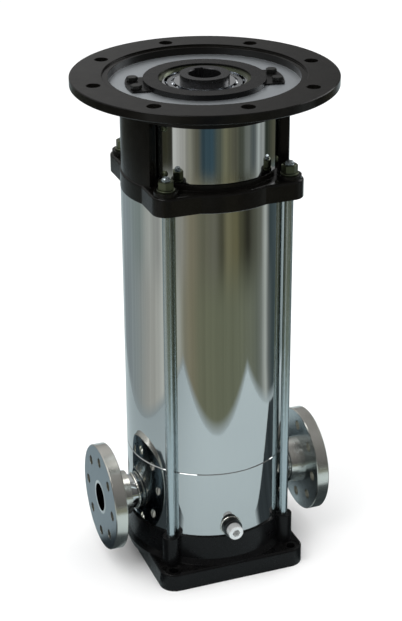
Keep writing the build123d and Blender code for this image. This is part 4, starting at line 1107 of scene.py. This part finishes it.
# Painted shade: a dark card on the floor behind the pump, seen only in reflections, stands in for
# the shade there.
rear_stops = [(-180, (0.03, 0.04, 0.045)), (0, (0.05, 0.06, 0.065)), (180, (0.03, 0.04, 0.045))]
rear = card_material("rear_reflection", rear_stops, rear_stops, 0.1, 0.5)
make_card("rear_shade_card", even(0.15), even(0.27), 125, 225, 2 * mm, rear, 40)
side = card_material("side_reflection", rear_stops, rear_stops, 0.1, 0.5)


def shade_card_reach(degrees):
    """How far the dark cards of painted shade near the base reach: little in front, more at both
    sides.
    """
    if degrees < 0:
        return 0.43 - 0.17 * max(0.0, min(1.0, (degrees + 60) / 34))
    return 0.25 + 0.47 * max(0.0, min(1.0, (degrees - 60) / 44)) ** 1.6


# painted shade: dark cards seen only in reflections keep the sides of the casing dark near the base
make_card(
    "left_shade_card", even(0.14), shade_card_reach, -87, -26, 2.5 * mm, rear, 30, soft=0.0, ends=5
)
make_card(
    "right_shade_card", even(0.14), shade_card_reach, 60, 122, 1.5 * mm, side, 30, soft=0.0, ends=5
)

# %% [markdown]
# One broad softbox above and to the left gives the castings their edges; a weaker one on the
# right keeps that side from closing up.


# %% Lights
def softbox(name, place, aim, size, power):
    data = bpy.data.lights.new(name, "AREA")
    data.shape = "SQUARE"
    data.size = size
    data.energy = power
    lamp = bpy.data.objects.new(name, data)
    scene.collection.objects.link(lamp)
    lamp.location = place
    lamp.rotation_euler = (Vector(aim) - Vector(place)).to_track_quat("-Z", "Y").to_euler()
    return lamp


softbox("key_softbox", (-1.6, -0.6, 2.6), (0, 0, 0.35), 1.8, 30)
softbox("side_softbox", (2.2, 0.4, 1.8), (0, 0, 0.35), 1.4, 14)
print("lights ready")

# %% [markdown]
# The camera stands in front, to the left and above, with a long lens.

# %% Camera
camera_data = bpy.data.cameras.new("camera")
camera_data.lens = 96.14
camera_data.sensor_width = 36.0
camera_data.sensor_fit = "AUTO"
camera = bpy.data.objects.new("camera", camera_data)
scene.collection.objects.link(camera)
forward = Vector((0.3171, 0.8483, -0.4242)).normalized()
level_right = Vector((cos(radians(20.5)), -sin(radians(20.5)), 0.0))
level_right = (level_right - forward * level_right.dot(forward)).normalized()
level_up = level_right.cross(forward)
roll = radians(-0.3)
right = level_right * cos(roll) + level_up * sin(roll)
up = right.cross(forward)
camera.matrix_world = Matrix(
    (
        (right.x, up.x, -forward.x, camera_place.x),
        (right.y, up.y, -forward.y, camera_place.y),
        (right.z, up.z, -forward.z, camera_place.z),
        (0, 0, 0, 1),
    )
)
scene.camera = camera
scene.view_settings.view_transform = "Standard"
print("camera at", [round(v, 3) for v in camera.location])
